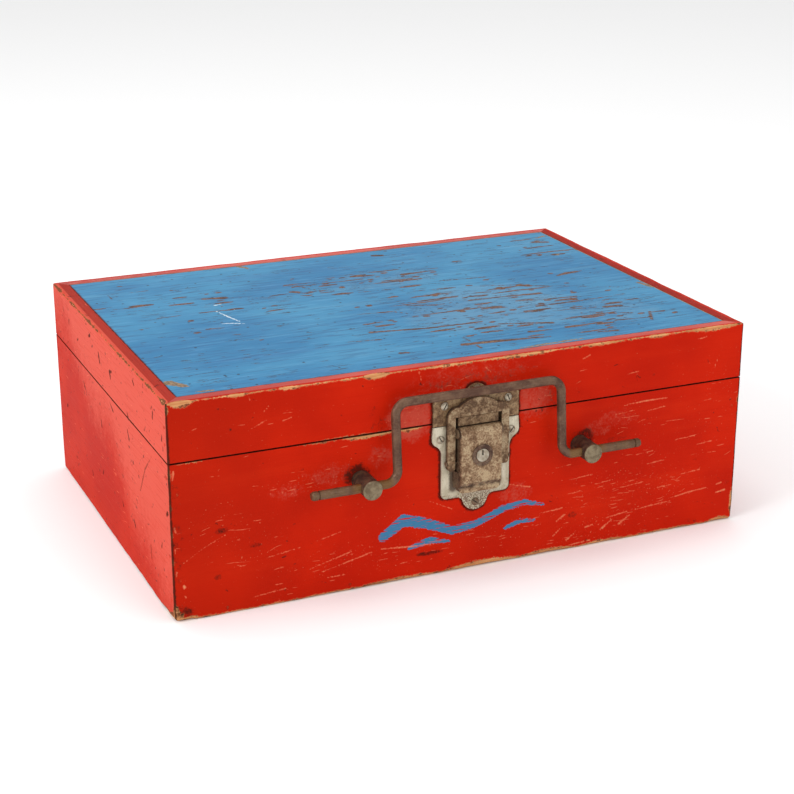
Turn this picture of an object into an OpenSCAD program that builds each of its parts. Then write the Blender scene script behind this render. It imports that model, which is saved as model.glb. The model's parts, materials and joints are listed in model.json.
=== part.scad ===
// Painted wooden carrying case with a hinged lid, an iron bail handle and a draw-bolt lock.
// Frame: origin at the centre of the case's underside, +X to the right, +Y to the back, +Z up.
// Hardware on the front is placed by "proud", its distance in front of the front face.

/* [Case] */
// Outer width, left to right
case_w = 400; // [360:1:460]
// Outer depth, front to back
case_d = 280; // [240:1:320]
// Outer height with the lid shut
case_h = 142; // [138:1:160]
// Height of the sawn line between case and lid
split_z = 104; // [104:1:106]
// Thickness of the side boards and rails
board_t = 10; // [9:0.5:12]
// Thickness of the top and bottom panels
panel_t = 8; // [6:0.5:10]
// Width of the sawn gap between case and lid
saw_gap = 0.7; // [0.6:0.1:1.2]

/* [Handle] */
// Distance of each post from the middle
post_x = 77; // [74:0.5:82]
// Height of the posts
post_z = 74.5; // [72:0.5:78]
// Diameter of the posts
post_d = 12.7; // [12:0.1:14]
// Length of each post in front of the case
post_len = 20; // [19:0.5:24]
// Diameter of the bail's rod
rod_d = 6; // [5.5:0.1:6.4]
// Distance of the rod's turning axis in front of the case
rod_proud = 13; // [12.5:0.1:13.5]
// Distance of each bail arm from the middle
arm_x = 57.5; // [54:0.5:60]
// Distance from the turning axis to the grip
arm_len = 50.6; // [50:0.1:54]
// Centre-line radius of the four bends
bend_r = 8; // [6:0.5:9]
// Distance of each rod tip from the middle
tip_x = 115; // [100:1:130]
// Backward lean of the bail at rest, in degrees
bail_lean = 5; // [3:0.5:5]

/* [Lock] */
// Sideways place of the lock
lock_x = 1.5; // [-3:0.5:3]
// Thickness of the base and catch plates
plate_t = 1.2; // [1:0.1:1.3]
// Half width of the two plates
plate_half = 30; // [29:0.5:32]
// Height of the lever's hinge axis
hinge_z = 97.2; // [96.8:0.1:97.4]
// Height of the draw link's pivot
pivot_z = 77; // [76:0.5:78]
// Height of the key plug
key_z = 82.3; // [81.5:0.1:83]
// Radius of the key plug
plug_r = 4.3; // [4:0.1:4.5]

/* [Lid hinges] */
// Distance of each hinge from the middle
butt_x = 120; // [90:1:150]
// Width of a hinge
butt_w = 50; // [40:1:60]
// Height of one hinge leaf
leaf_h = 18; // [16:0.5:22]
// Radius of the hinge pins
butt_pin_r = 1.5; // [1.3:0.1:1.6]

/* [Hidden] */
$fn = 48;
eps = 0.01;
clear = 0.3;            // gap kept between pieces that move past each other
fit = 0.05;             // radial clearance of a turning fit

// Faces and heights of the wooden box
half_w = case_w / 2;
half_d = case_d / 2;
case_top = split_z - saw_gap / 2;
lid_bottom = split_z + saw_gap / 2;

// Handle posts
shank_r = 4;
shank_hole_r = 4.25;
washer_t = 1.6;
washer_r = 8;
nut_t = 6.5;
nut_r = 7.5;            // across the corners
shank_end = 2;          // thread showing past the nut

// Lock, measured in front of the face ("proud")
link_back = plate_t + 0.5;
link_t = 3.4;
link_in = 16.2;         // inner edge of the link's arms, from the lock's middle
link_out = 21.4;        // outer edge of the link's arms
link_bar_z = 107.9;     // underside of the link's cross bar
link_shoulder_r = 7;
link_top_z = 114.3;     // top of the bar at its shoulders
link_hump_z = 119.4;    // top of the raised thumb hump
link_foot_z = 72.2;     // lower ends of the link's arms
eye_proud = link_back + link_t / 2;
rivet_r = 0.9;
hinge_proud = 5.8;
knuckle_r = 4;
lever_pin_r = 1.3;
lever_half = 14.6;
lever_flange_half = 16.6;
lever_face_half = 14.1;
lever_slope = 16.5;     // of the sides, in degrees
lever_flange_z = 71.4;  // top of the wider skirt
lever_face = hinge_proud + knuckle_r;
lever_back = link_back;
lever_wall = 1;
crease_z = 63.5;        // where the face turns back above the finger lip
lip_z = 56.5;
cavity_half = 11.4;
ear_t = 1;
ear_in = lever_half + clear;
ear_r = 2.9;
key_x = lock_x + 0.4;
collar_r = 7.2;
collar_t = 0.8;
cam_t = 1.2;
cam_proud = 3.2;        // back face of the cam
cam_len = 9;
staple_x = key_x + 6.5; // near edge of the staple's lip
catch_bottom_z = split_z - 1.8;
catch_top_z = 119.5;
keeper_proud = 4.8;
keeper_top_z = link_bar_z - clear;
keeper_bottom_z = hinge_z + knuckle_r + 0.45;
keeper_half = 14.2;

// Screws and nails
plate_screws = [[-22.2, 115.2], [22.2, 115.2], [0, 124.2]];
base_screws = [[-24.9, 93.2], [24.9, 93.2], [0, 47.3]];
screw_head_r = 2.6;
screw_r = 1.5;
screw_len = 8.5;        // stops inside a board
nail_r = 1.1;
nail_head_r = 2.2;
nail_len = 26;
case_nail_z = [14, 43, 71, 94];
lid_nail_z = [115, 126];
front_nail_z = [28, 84];
bottom_nail_x = [-166, -85, 0, 85, 166];

// Lid hinges on the back
butt_proud = 3.4;       // pin axis behind the back face
barrel_r = 3;
leaf_t = 1.5;
knuckles = 5;
leaf_rows = [-0.34, 0, 0.34];

paint_red = [0.78, 0.14, 0.08];
paint_blue = [0.33, 0.57, 0.76];
rust = [0.42, 0.34, 0.27];
cream = [0.78, 0.74, 0.64];
steel = [0.62, 0.6, 0.57];

// ---------- outlines and small helpers ----------

// Points on an arc about c, from angle a0 to a1
function arc(c, r, a0, a1, steps = 10) =
    [for (i = [0:steps]) c + r * [cos(a0 + (a1 - a0) * i / steps), sin(a0 + (a1 - a0) * i / steps)]];

// A right half outline, run from top to bottom, joined to its mirror image
function mirrored(half) =
    concat(half, [for (i = [len(half) - 1:-1:0]) [-half[i][0], half[i][1]]]);

// Stands a flat X-Z outline on the front face, from "proud" outwards over "t"
module on_front(proud, t) {
    translate([0, -half_d - proud, 0]) rotate([90, 0, 0]) linear_extrude(t) children();
}

// A round bar that points straight out of the front face
module out_bar(x, z, r, proud, t) {
    translate([x, -half_d - proud, z]) rotate([90, 0, 0]) cylinder(h = t, r = r);
}

// A round bar along X through a point at "proud" and height z
module cross_bar(x0, x1, proud, z, r) {
    translate([x0, -half_d - proud, z]) rotate([0, 90, 0]) cylinder(h = x1 - x0, r = r);
}

// ---------- wooden box ----------

// Front board of a mitred frame; turned for the other sides
module long_board(z0, z1) {
    translate([0, 0, z0]) linear_extrude(z1 - z0)
        polygon([[-half_w, -half_d], [half_w, -half_d],
                 [half_w - board_t, -half_d + board_t], [-half_w + board_t, -half_d + board_t]]);
}

module short_board(z0, z1) {
    translate([0, 0, z0]) linear_extrude(z1 - z0)
        polygon([[-half_w, -half_d], [-half_w + board_t, -half_d + board_t],
                 [-half_w + board_t, half_d - board_t], [-half_w, half_d]]);
}

module flat_panel(z0) {
    inner_w = case_w - 2 * board_t;
    inner_d = case_d - 2 * board_t;
    translate([-inner_w / 2, -inner_d / 2, z0]) cube([inner_w, inner_d, panel_t]);
}

module case_front_board() {
    color(paint_red) difference() {
        long_board(0, case_top);
        for (s = [-1, 1])
            out_bar(s * post_x, post_z, shank_hole_r, -board_t - 1, board_t + 2);
    }
}

module case_back_board() { color(paint_red) mirror([0, 1, 0]) long_board(0, case_top); }
module case_left_board() { color(paint_red) short_board(0, case_top); }
module case_right_board() { color(paint_red) mirror([1, 0, 0]) short_board(0, case_top); }
module bottom_panel() { color("tan") flat_panel(0); }

module lid_front_rail() { color(paint_red) long_board(lid_bottom, case_h); }
module lid_back_rail() { color(paint_red) mirror([0, 1, 0]) long_board(lid_bottom, case_h); }
module lid_left_rail() { color(paint_red) short_board(lid_bottom, case_h); }
module lid_right_rail() { color(paint_red) mirror([1, 0, 0]) short_board(lid_bottom, case_h); }
module lid_panel() { color(paint_blue) flat_panel(case_h - panel_t); }

// A nail driven along +X with its head flush at the origin
module nail() {
    rotate([0, 90, 0]) {
        cylinder(h = 1, r = nail_head_r, $fn = 20);
        cylinder(h = nail_len, r = nail_r, $fn = 20);
    }
}

// Nails through the side boards into the ends of the front and back boards
module side_nails(heights) {
    for (sx = [0, 1], sy = [0, 1], z = heights)
        mirror([sx, 0, 0]) mirror([0, sy, 0])
            translate([-half_w, -half_d + board_t / 2, z]) nail();
}

// Nails through the front and back boards, at distances xs from the middle
module front_nails(xs, heights) {
    for (sy = [0, 1], x = xs, z = heights)
        mirror([0, sy, 0]) translate([x, -half_d, z]) rotate([0, 0, 90]) nail();
}

module case_nails() {
    corner_x = half_w - board_t / 2;
    color(steel) {
        side_nails(case_nail_z);
        front_nails([-corner_x, corner_x], front_nail_z);
        front_nails(bottom_nail_x, [panel_t / 2]);
    }
}

module lid_nails() { color(steel) side_nails(lid_nail_z); }

// ---------- handle ----------

// Steel stud with a cross hole for the rod and a shank through the front board
module handle_post(x) {
    back = board_t + washer_t + nut_t + shank_end;
    color(rust) difference() {
        union() {
            out_bar(x, post_z, post_d / 2, 0, post_len - 0.6);
            translate([x, -half_d - post_len + 0.6, post_z]) rotate([90, 0, 0])
                cylinder(h = 0.6, r1 = post_d / 2, r2 = post_d / 2 - 0.6);
            out_bar(x, post_z, shank_r, -back, back + eps);
        }
        cross_bar(x - post_d, x + post_d, rod_proud, post_z, rod_d / 2 + fit);
    }
}

module left_handle_post() { handle_post(-post_x); }
module right_handle_post() { handle_post(post_x); }

module post_washers() {
    color(steel) for (s = [-1, 1]) difference() {
        out_bar(s * post_x, post_z, washer_r, -board_t - washer_t, washer_t);
        out_bar(s * post_x, post_z, shank_hole_r, -board_t - washer_t - 1, washer_t + 2);
    }
}

module post_nuts() {
    back = -board_t - washer_t - nut_t;
    color(steel) for (s = [-1, 1]) difference() {
        translate([s * post_x, -half_d - back, post_z]) rotate([90, 0, 0])
            cylinder(h = nut_t, r = nut_r, $fn = 6);
        out_bar(s * post_x, post_z, shank_r, back - 1, nut_t + 2);
    }
}

// Half of the bail, drawn in its own upright plane with the turning axis at z = 0
module bail_half() {
    tip_groove_x = tip_x - 4;
    difference() {
        translate([arm_x + bend_r, 0, 0]) rotate([0, 90, 0])
            cylinder(h = tip_x - arm_x - bend_r, r = rod_d / 2);
        translate([tip_groove_x, 0, 0]) rotate([0, 90, 0]) difference() {
            cylinder(h = 1, r = rod_d);
            translate([0, 0, -1]) cylinder(h = 3, r = rod_d / 2 - 0.6);
        }
    }
    translate([arm_x + bend_r, 0, bend_r]) rotate([90, 180, 0])
        rotate_extrude(angle = 90) translate([bend_r, 0]) circle(d = rod_d, $fn = 32);
    translate([arm_x, 0, bend_r]) cylinder(h = arm_len - 2 * bend_r, r = rod_d / 2);
    translate([arm_x - bend_r, 0, arm_len - bend_r]) rotate([90, 0, 0])
        rotate_extrude(angle = 90) translate([bend_r, 0]) circle(d = rod_d, $fn = 32);
    translate([-eps, 0, arm_len]) rotate([0, 90, 0])
        cylinder(h = arm_x - bend_r + eps, r = rod_d / 2);
}

module handle_bail() {
    color(rust) translate([0, -half_d - rod_proud, post_z]) rotate([-bail_lean, 0, 0]) {
        bail_half();
        mirror([1, 0, 0]) bail_half();
    }
}

// ---------- lock: plates on the case and lid ----------

// A slotted round-head screw standing on a plate
module plate_screw(x, z, slot_turn) {
    difference() {
        union() {
            out_bar(x, z, screw_head_r, plate_t, 0.6);
            translate([x, -half_d - plate_t - 0.6, z]) rotate([90, 0, 0])
                cylinder(h = 0.7, r1 = screw_head_r, r2 = screw_head_r - 1);
            out_bar(x, z, screw_r, plate_t - screw_len, screw_len + eps);
        }
        translate([x, -half_d - plate_t - 1, z]) rotate([0, slot_turn, 0])
            cube([2 * screw_head_r + 1, 1, 0.7], center = true);
    }
}

// Shield outline: wide ears at the top, a waist, and a round lobe at the foot
function base_outline() =
    let (ear_c = [plate_half - 4.7, 93.5], ear_r2 = 5.2, waist_r = 8, foot_r = 3.5,
         waist_c = ear_c + (ear_r2 + waist_r) * [cos(-60), sin(-60)],
         side_x = waist_c[0] - waist_r, foot_c = [side_x - foot_r, 55.5],
         lobe_c = [0, 50.6], lobe_r = 8.8, fillet_r = 5,
         fillet_z = foot_c[1] - foot_r - fillet_r,
         fillet_x = sqrt(pow(lobe_r + fillet_r, 2) - pow(lobe_c[1] - fillet_z, 2)),
         meet = atan2(lobe_c[1] - fillet_z, -fillet_x))
    mirrored(concat(
        [[plate_half, catch_bottom_z - 0.6]],
        arc(ear_c, ear_r2, 0, -60),
        arc(waist_c, waist_r, 120, 180),
        arc(foot_c, foot_r, 0, -90),
        arc([fillet_x, fillet_z], fillet_r, 90, meet),
        arc(lobe_c, lobe_r, meet - 180, -90)));

module lock_base_plate() {
    color(cream) difference() {
        union() {
            translate([lock_x, 0, 0]) on_front(0, plate_t) polygon(base_outline());
            for (s = [-1, 1]) base_ear(s);
        }
        for (p = base_screws) out_bar(lock_x + p[0], p[1], screw_r + 0.2, -1, plate_t + 2);
        cross_bar(lock_x - 30, lock_x + 30, hinge_proud, hinge_z, lever_pin_r);
    }
}

// Upturned ear that carries one end of the lever's hinge pin
module base_ear(s) {
    x0 = s > 0 ? lock_x + ear_in : lock_x - ear_in - ear_t;
    cross_bar(x0, x0 + ear_t, hinge_proud, hinge_z, ear_r);
    translate([x0, -half_d - hinge_proud, hinge_z - ear_r])
        cube([ear_t, hinge_proud - plate_t / 2, 2 * ear_r]);
}

module lock_base_screws() {
    color(steel) for (i = [0:2])
        plate_screw(lock_x + base_screws[i][0], base_screws[i][1], [62, -55, 40][i]);
}

module lever_hinge_pin() {
    reach = ear_in + ear_t;
    color(steel) cross_bar(lock_x - reach, lock_x + reach, hinge_proud, hinge_z, lever_pin_r);
}

// Hook on the base plate that the turned cam slides under
module lock_staple() {
    hook_half = 2.5;
    lip_back = cam_proud + cam_t + 0.5;
    color(steel) translate([0, 0, key_z - hook_half]) {
        translate([staple_x + 3.3, -half_d - lip_back - 1.3, 0])
            cube([1, lip_back + 1.3 - plate_t, 2 * hook_half]);
        translate([staple_x, -half_d - lip_back - 1.3, 0]) cube([4.3, 1.3, 2 * hook_half]);
    }
}

// Oblong plate with a round lobe on its upper edge
function catch_outline() =
    let (lobe_c = [0, catch_top_z - 0.1], lobe_r = 8, fillet_r = 4,
         fillet_x = sqrt(pow(lobe_r + fillet_r, 2) - pow(fillet_r + 0.1, 2)),
         meet = 180 + atan2(fillet_r + 0.1, fillet_x))
    mirrored(concat(
        arc(lobe_c, lobe_r, 90, meet - 180),
        arc([fillet_x, catch_top_z + fillet_r], fillet_r, meet, 270),
        arc([plate_half - 2, catch_top_z - 2], 2, 90, 0),
        [[plate_half, catch_bottom_z]]));

module catch_plate() {
    color(rust) difference() {
        translate([lock_x, 0, 0]) on_front(0, plate_t) polygon(catch_outline());
        // relief behind the strip that hangs in front of the case
        translate([lock_x - plate_half - 1, -half_d - clear, catch_bottom_z - 1])
            cube([2 * plate_half + 2, 1, lid_bottom + 1 - catch_bottom_z]);
        for (p = plate_screws) out_bar(lock_x + p[0], p[1], screw_r + 0.2, -1, plate_t + 2);
    }
}

// Raised block that the draw link's bar pulls down on
module catch_keeper() {
    color(rust) difference() {
        translate([lock_x - keeper_half, -half_d - keeper_proud, keeper_bottom_z])
            cube([2 * keeper_half, keeper_proud - plate_t, keeper_top_z - keeper_bottom_z]);
        for (s = [-1, 1])
            translate([lock_x + s * keeper_half, -half_d - keeper_proud, keeper_bottom_z])
                rotate([0, 0, 45]) cube([0.8, 0.8, 20], center = true);
    }
}

module catch_screws() {
    color(steel) for (i = [0:2])
        plate_screw(lock_x + plate_screws[i][0], plate_screws[i][1], [-60, 70, 25][i]);
}

// ---------- lock: lever, link and key ----------

// Side profile of the lever, as [proud, z], without its rounded top
function lever_profile() = [
    [lever_back, hinge_z - knuckle_r - 0.5], [lever_back + 2, hinge_z], [lever_face, hinge_z],
    [lever_face, crease_z], [lever_face - 2.6, crease_z - 2.6], [lever_face - 2.2, lip_z + 0.6],
    [lever_face - 3, lip_z], [lever_back + 2.4, lip_z + 1], [lever_back, lip_z + 3]
];

// Extrudes a [proud, z] profile along X, centred on the lock
module lever_slab(half) {
    translate([lock_x + half, -half_d, 0]) rotate([90, 0, -90]) linear_extrude(2 * half)
        polygon(lever_profile());
}

// Sloping cut that narrows the lever towards its face, on the right side
module lever_bevel() {
    translate([lock_x + lever_face_half, -half_d - lever_face, lip_z - 1])
        rotate([0, 0, -lever_slope]) translate([0, -10, 0]) cube([12, 24, 60]);
}

module lever_case() {
    color(rust) difference() {
        union() {
            difference() {
                lever_slab(lever_flange_half);
                for (s = [-1, 1])
                    translate([lock_x + s * (lever_half + 5), -half_d - 5, lever_flange_z + 20])
                        cube([10, 20, 40], center = true);
                lever_bevel();
                translate([2 * lock_x, 0, 0]) mirror([1, 0, 0]) lever_bevel();
                lever_feet();
            }
            cross_bar(lock_x - lever_half, lock_x + lever_half, hinge_proud, hinge_z, knuckle_r);
        }
        // hollow behind the face, and the hollow round the hinge pin
        translate([lock_x - cavity_half, -half_d - lever_face + lever_wall, crease_z - 1])
            cube([2 * cavity_half, 20, hinge_z - knuckle_r - crease_z]);
        cross_bar(lock_x - cavity_half, lock_x + cavity_half, hinge_proud, hinge_z,
                  knuckle_r - lever_wall);
        translate([lock_x - cavity_half, -half_d - lever_face + lever_wall, hinge_z - 6])
            cube([2 * cavity_half, lever_face - lever_wall - lever_back + 1, 6]);
        cross_bar(lock_x - 20, lock_x + 20, hinge_proud, hinge_z, lever_pin_r + fit);
        cross_bar(lock_x - 20, lock_x + 20, eye_proud, pivot_z, rivet_r);
        out_bar(key_x, key_z, plug_r + fit, 5, 10);
    }
}

// Cuts that round the two lower corners of the lever, seen from the front
module lever_feet() {
    corner_r = 7;
    for (s = [-1, 1])
        on_front(-1, 20) difference() {
            translate([lock_x + s * (lever_flange_half - corner_r / 2 + 0.5), lip_z + 3])
                square([corner_r + 1, 8], center = true);
            translate([lock_x + s * (lever_flange_half - corner_r), lip_z + corner_r])
                circle(r = corner_r);
        }
}

// Rivets that carry the link on the lever's two sides
module link_rivets() {
    color(steel) for (s = [0, 1]) translate([2 * s * lock_x, 0, 0]) mirror([s, 0, 0]) {
        cross_bar(lock_x + cavity_half, lock_x + link_out + clear, eye_proud, pivot_z, rivet_r);
        cross_bar(lock_x + link_out + clear, lock_x + link_out + clear + 0.6, eye_proud, pivot_z,
                  rivet_r + 0.8);
    }
}

module key_collar() {
    color(rust) difference() {
        out_bar(key_x, key_z, collar_r, lever_face, collar_t);
        out_bar(key_x, key_z, plug_r + fit, lever_face - 1, collar_t + 2);
    }
}

// Outline of the link: straight arms, round shoulders and a thumb hump
function link_outline() =
    let (hump_r = 20, hump_c = [0, link_hump_z - hump_r],
         shoulder_c = [link_out - link_shoulder_r, link_top_z - link_shoulder_r],
         hump_a = asin((link_top_z - hump_c[1]) / hump_r))
    mirrored(concat(
        arc(hump_c, hump_r, 90, hump_a, 8),
        arc(shoulder_c, link_shoulder_r, 90, 0),
        [[link_out, link_foot_z + 1.4], [link_out - 1.4, link_foot_z],
         [link_in + 1, link_foot_z], [link_in, link_foot_z + 1], [link_in, link_bar_z]]));

module draw_link() {
    color(rust) difference() {
        translate([lock_x, 0, 0]) on_front(link_back, link_t) polygon(link_outline());
        cross_bar(lock_x - 30, lock_x + 30, eye_proud, pivot_z, rivet_r + fit);
    }
}

module key_plug() {
    front = lever_face + collar_t + 0.3;
    cam_front = cam_proud + cam_t;
    color(steel) difference() {
        union() {
            out_bar(key_x, key_z, plug_r, cam_front, front - cam_front);
            out_bar(key_x, key_z, plug_r + 1.2, lever_face - lever_wall - clear - 0.8, 0.8);
        }
        // keyway in the upper half of the plug
        translate([key_x - 0.5, -half_d - front - 1, key_z])
            cube([1, 5, plug_r - 0.8]);
        out_bar(key_x, key_z, 1.1, cam_front - 1, 3);
    }
}

module lock_cam() {
    cam_half = 2.4;
    color(steel) difference() {
        union() {
            out_bar(key_x, key_z, 3.4, cam_proud, cam_t);
            translate([key_x - cam_half, -half_d - cam_proud - cam_t, key_z - cam_len])
                cube([2 * cam_half, cam_t, cam_len]);
        }
        out_bar(key_x, key_z, 1.1, cam_proud - 1, cam_t + 2);
    }
}

module cam_screw() {
    color(steel) difference() {
        union() {
            out_bar(key_x, key_z, 2.2, cam_proud - 1, 1);
            out_bar(key_x, key_z, 1.1, cam_proud - eps, cam_t + 2 - eps);
        }
        translate([key_x, -half_d - cam_proud + 1, key_z]) cube([5, 0.8, 0.6], center = true);
    }
}

// ---------- lid hinges ----------

// Moves to a hinge's pin axis, with X along the pin and Y away from the back face
module at_butt(x) { translate([x, half_d + butt_proud, split_z]) children(); }

// Barrel pieces whose number is even or odd, as cylinders of radius r and extra length grow
module barrel_set(parity, r, grow) {
    pitch = butt_w / knuckles;
    for (i = [0:knuckles - 1])
        if (i % 2 == parity)
            translate([-butt_w / 2 + i * pitch + 0.15 - grow, 0, 0]) rotate([0, 90, 0])
                cylinder(h = pitch - 0.3 + 2 * grow, r = r);
}

// One leaf: dir is -1 on the case (downwards) and 1 on the lid (upwards)
module butt_leaf(x, dir, parity, hole_r) {
    color(rust) at_butt(x) difference() {
        union() {
            barrel_set(parity, barrel_r, 0);
            difference() {
                translate([-butt_w / 2, -butt_proud, dir > 0 ? 0.5 : -leaf_h])
                    cube([butt_w, leaf_t, leaf_h - 0.5]);
                barrel_set(1 - parity, barrel_r + 0.4, 0.3);
            }
        }
        rotate([0, 90, 0]) cylinder(h = butt_w + 2, r = hole_r, center = true);
        for (k = leaf_rows) butt_screw_place(k, dir) butt_screw_shape(0.15);
    }
}

// Place of one countersunk screw on a leaf, pointing into the wood
module butt_screw_place(k, dir) {
    translate([k * butt_w, -butt_proud + leaf_t, dir * (leaf_h * 0.62)]) rotate([90, 0, 0])
        children();
}

module butt_screw_shape(grow) {
    cylinder(h = leaf_t, r1 = 3 + grow, r2 = 1.5 + grow);
    cylinder(h = screw_len, r = 1.5 + grow);
}

module butt_screws(dir) {
    color(steel) for (sx = [-1, 1], k = leaf_rows)
        at_butt(sx * butt_x) difference() {
            butt_screw_place(k, dir) butt_screw_shape(0);
            butt_screw_place(k, dir) rotate([0, 0, 35 + 110 * k]) cube([7, 0.7, 1], center = true);
        }
}

module butt_pin(x) {
    color(steel) at_butt(x) rotate([0, 90, 0])
        cylinder(h = butt_w - 0.4, r = butt_pin_r, center = true);
}

module left_hinge_case_leaf() { butt_leaf(-butt_x, -1, 0, butt_pin_r); }
module right_hinge_case_leaf() { butt_leaf(butt_x, -1, 0, butt_pin_r); }
module left_hinge_lid_leaf() { butt_leaf(-butt_x, 1, 1, butt_pin_r + fit); }
module right_hinge_lid_leaf() { butt_leaf(butt_x, 1, 1, butt_pin_r + fit); }
module left_hinge_pin() { butt_pin(-butt_x); }
module right_hinge_pin() { butt_pin(butt_x); }
module hinge_case_screws() { butt_screws(-1); }
module hinge_lid_screws() { butt_screws(1); }

case_front_board();
case_back_board();
case_left_board();
case_right_board();
bottom_panel();
case_nails();
left_handle_post();
right_handle_post();
post_washers();
post_nuts();
lock_base_plate();
lock_base_screws();
lever_hinge_pin();
lock_staple();
left_hinge_case_leaf();
right_hinge_case_leaf();
left_hinge_pin();
right_hinge_pin();
hinge_case_screws();
lid_front_rail();
lid_back_rail();
lid_left_rail();
lid_right_rail();
lid_panel();
lid_nails();
catch_plate();
catch_keeper();
catch_screws();
left_hinge_lid_leaf();
right_hinge_lid_leaf();
hinge_lid_screws();
handle_bail();
lever_case();
link_rivets();
key_collar();
draw_link();
key_plug();
lock_cam();
cam_screw();
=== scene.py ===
"""Looks of the painted wooden carrying case: worn red boards, a cracked blue top panel,
a rusty bail handle and a draw-bolt lock. Lengths are millimetres until a mesh is made."""

import json
import math

import bpy
import numpy as np
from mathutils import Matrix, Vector, noise
from mathutils.bvhtree import BVHTree


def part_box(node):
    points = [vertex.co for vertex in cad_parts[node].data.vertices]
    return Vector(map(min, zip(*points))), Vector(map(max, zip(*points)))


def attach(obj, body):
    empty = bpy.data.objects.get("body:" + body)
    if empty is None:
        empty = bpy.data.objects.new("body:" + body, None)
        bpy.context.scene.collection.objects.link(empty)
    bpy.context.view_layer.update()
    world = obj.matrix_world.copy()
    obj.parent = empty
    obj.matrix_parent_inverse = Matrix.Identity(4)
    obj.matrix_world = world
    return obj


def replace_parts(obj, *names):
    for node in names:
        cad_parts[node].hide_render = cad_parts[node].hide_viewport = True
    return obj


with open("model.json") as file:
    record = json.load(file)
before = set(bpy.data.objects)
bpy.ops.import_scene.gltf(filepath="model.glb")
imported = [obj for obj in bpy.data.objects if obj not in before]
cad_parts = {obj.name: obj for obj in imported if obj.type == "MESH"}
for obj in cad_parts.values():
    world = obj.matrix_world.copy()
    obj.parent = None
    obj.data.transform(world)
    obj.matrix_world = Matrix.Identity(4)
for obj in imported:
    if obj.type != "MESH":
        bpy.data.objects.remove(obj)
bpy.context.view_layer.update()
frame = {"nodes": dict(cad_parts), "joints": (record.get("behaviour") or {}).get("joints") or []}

MM = 0.001

# ---------- sizes read from the frame ----------


def box_mm(node):
    """Lowest and highest corner of a CAD node, in millimetres."""
    lo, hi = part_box(node)
    return np.array(lo) / MM, np.array(hi) / MM


front_lo, front_hi = box_mm("case_front_board")
rail_lo, rail_hi = box_mm("lid_front_rail")
panel_lo = box_mm("lid_panel")[0]
bail_lo, bail_hi = box_mm("handle_bail")
post_lo, post_hi = box_mm("right_handle_post")
plate_lo, plate_hi = box_mm("lock_base_plate")
HALF_W = -front_lo[0]
HALF_D = -front_lo[1]
BOARD = front_hi[1] - front_lo[1]
CASE_Z = (front_lo[2], front_hi[2])
LID_Z = (rail_lo[2], rail_hi[2])
POST_Z = (post_lo[2] + post_hi[2]) / 2
LOCK_X = (plate_lo[0] + plate_hi[0]) / 2
pivot = next(j for j in frame["joints"] if j["name"] == "bail_pivot")
PIVOT = np.array(pivot["pos_m"]) / MM

# ---------- small numeric helpers ----------

# A signed depth far outside every painted mark
OUTSIDE = -20.0


def waves(points, size, seed=0.0):
    """Smooth noise from about -1 to 1 at each point, with bumps about size mm wide."""
    shift = Vector((seed * 17.31, seed * 5.17, seed * 9.73))
    return np.array([noise.noise(Vector(p) / size + shift) for p in points])


def smooth(value, low, high):
    """0 below low, 1 above high, and a smooth step between them."""
    t = np.clip((value - low) / (high - low), 0, 1)
    return t * t * (3 - 2 * t)


def lines(low, high, step, marks=(), near=(), ends=(0.35, 0.8, 1.4, 2.2, 3.2, 4.6, 6.6)):
    """Grid lines from low to high: fine near both ends and round each mark, even elsewhere."""
    closest, even_gap = 0.24, step * 0.45
    found = [low, high]
    found += [low + e for e in ends] + [high - e for e in ends]
    for m in marks:
        found += [m + s * d for d in (0.0, *near) for s in (-1, 1)]
    kept = sorted({round(v, 3) for v in found if low <= v <= high})
    for v in np.linspace(low, high, max(2, round((high - low) / step) + 1)):
        if min(abs(v - k) for k in kept) > even_gap:
            kept.append(v)
    kept.sort()
    spaced = [kept[0]]
    for v in kept[1:]:
        if v - spaced[-1] > closest:
            spaced.append(v)
    spaced[-1] = high
    return np.array(spaced)


def strokes(points, paths, grow=1.0):
    """Signed depth in mm inside the deepest of some brush strokes; above 0 is inside.

    A stroke is a list of (place, place, width) and its widths are multiplied by grow."""
    best = np.full(len(points), OUTSIDE)
    for path in paths:
        spots = np.array(path, float)
        for (*a, wide_a), (*b, wide_b) in zip(spots, spots[1:]):
            d = np.subtract(b, a)
            t = np.clip(((points - a) @ d) / (d @ d), 0, 1)
            gap = np.linalg.norm(points - a - t[:, None] * d, axis=1)
            best = np.maximum(best, (wide_a + (wide_b - wide_a) * t) * grow / 2 - gap)
    return best


def patches(points, table):
    """Strongest of some elliptic patches: strength at the centre, fading to 0 at the edge.

    A patch is (centre, centre, radius, radius, strength)."""
    best = np.zeros(len(points))
    for *centre, wide, high, strength in table:
        q = np.linalg.norm((points - centre) / np.array([wide, high]), axis=1)
        best = np.maximum(best, strength * (1 - smooth(q, 0.35, 1.0)))
    return best


def loose_boxes(node):
    """Boxes of the separate solids in one CAD node, in millimetres."""
    mesh = frame["nodes"][node].data
    co = np.array([v.co for v in mesh.vertices]) / MM
    keys = {}
    same = [keys.setdefault(tuple(np.round(c, 2)), i) for i, c in enumerate(co)]
    parent = list(range(len(co)))

    def root(i):
        while parent[i] != i:
            parent[i] = parent[parent[i]]
            i = parent[i]
        return i

    for p in mesh.polygons:
        first = root(same[p.vertices[0]])
        for v in p.vertices:
            parent[root(same[v])] = first
    groups = {}
    for i in range(len(co)):
        groups.setdefault(root(same[i]), []).append(i)
    return [(co[g].min(0), co[g].max(0)) for g in groups.values()]


# ---------- where the wood is worn ----------

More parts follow.
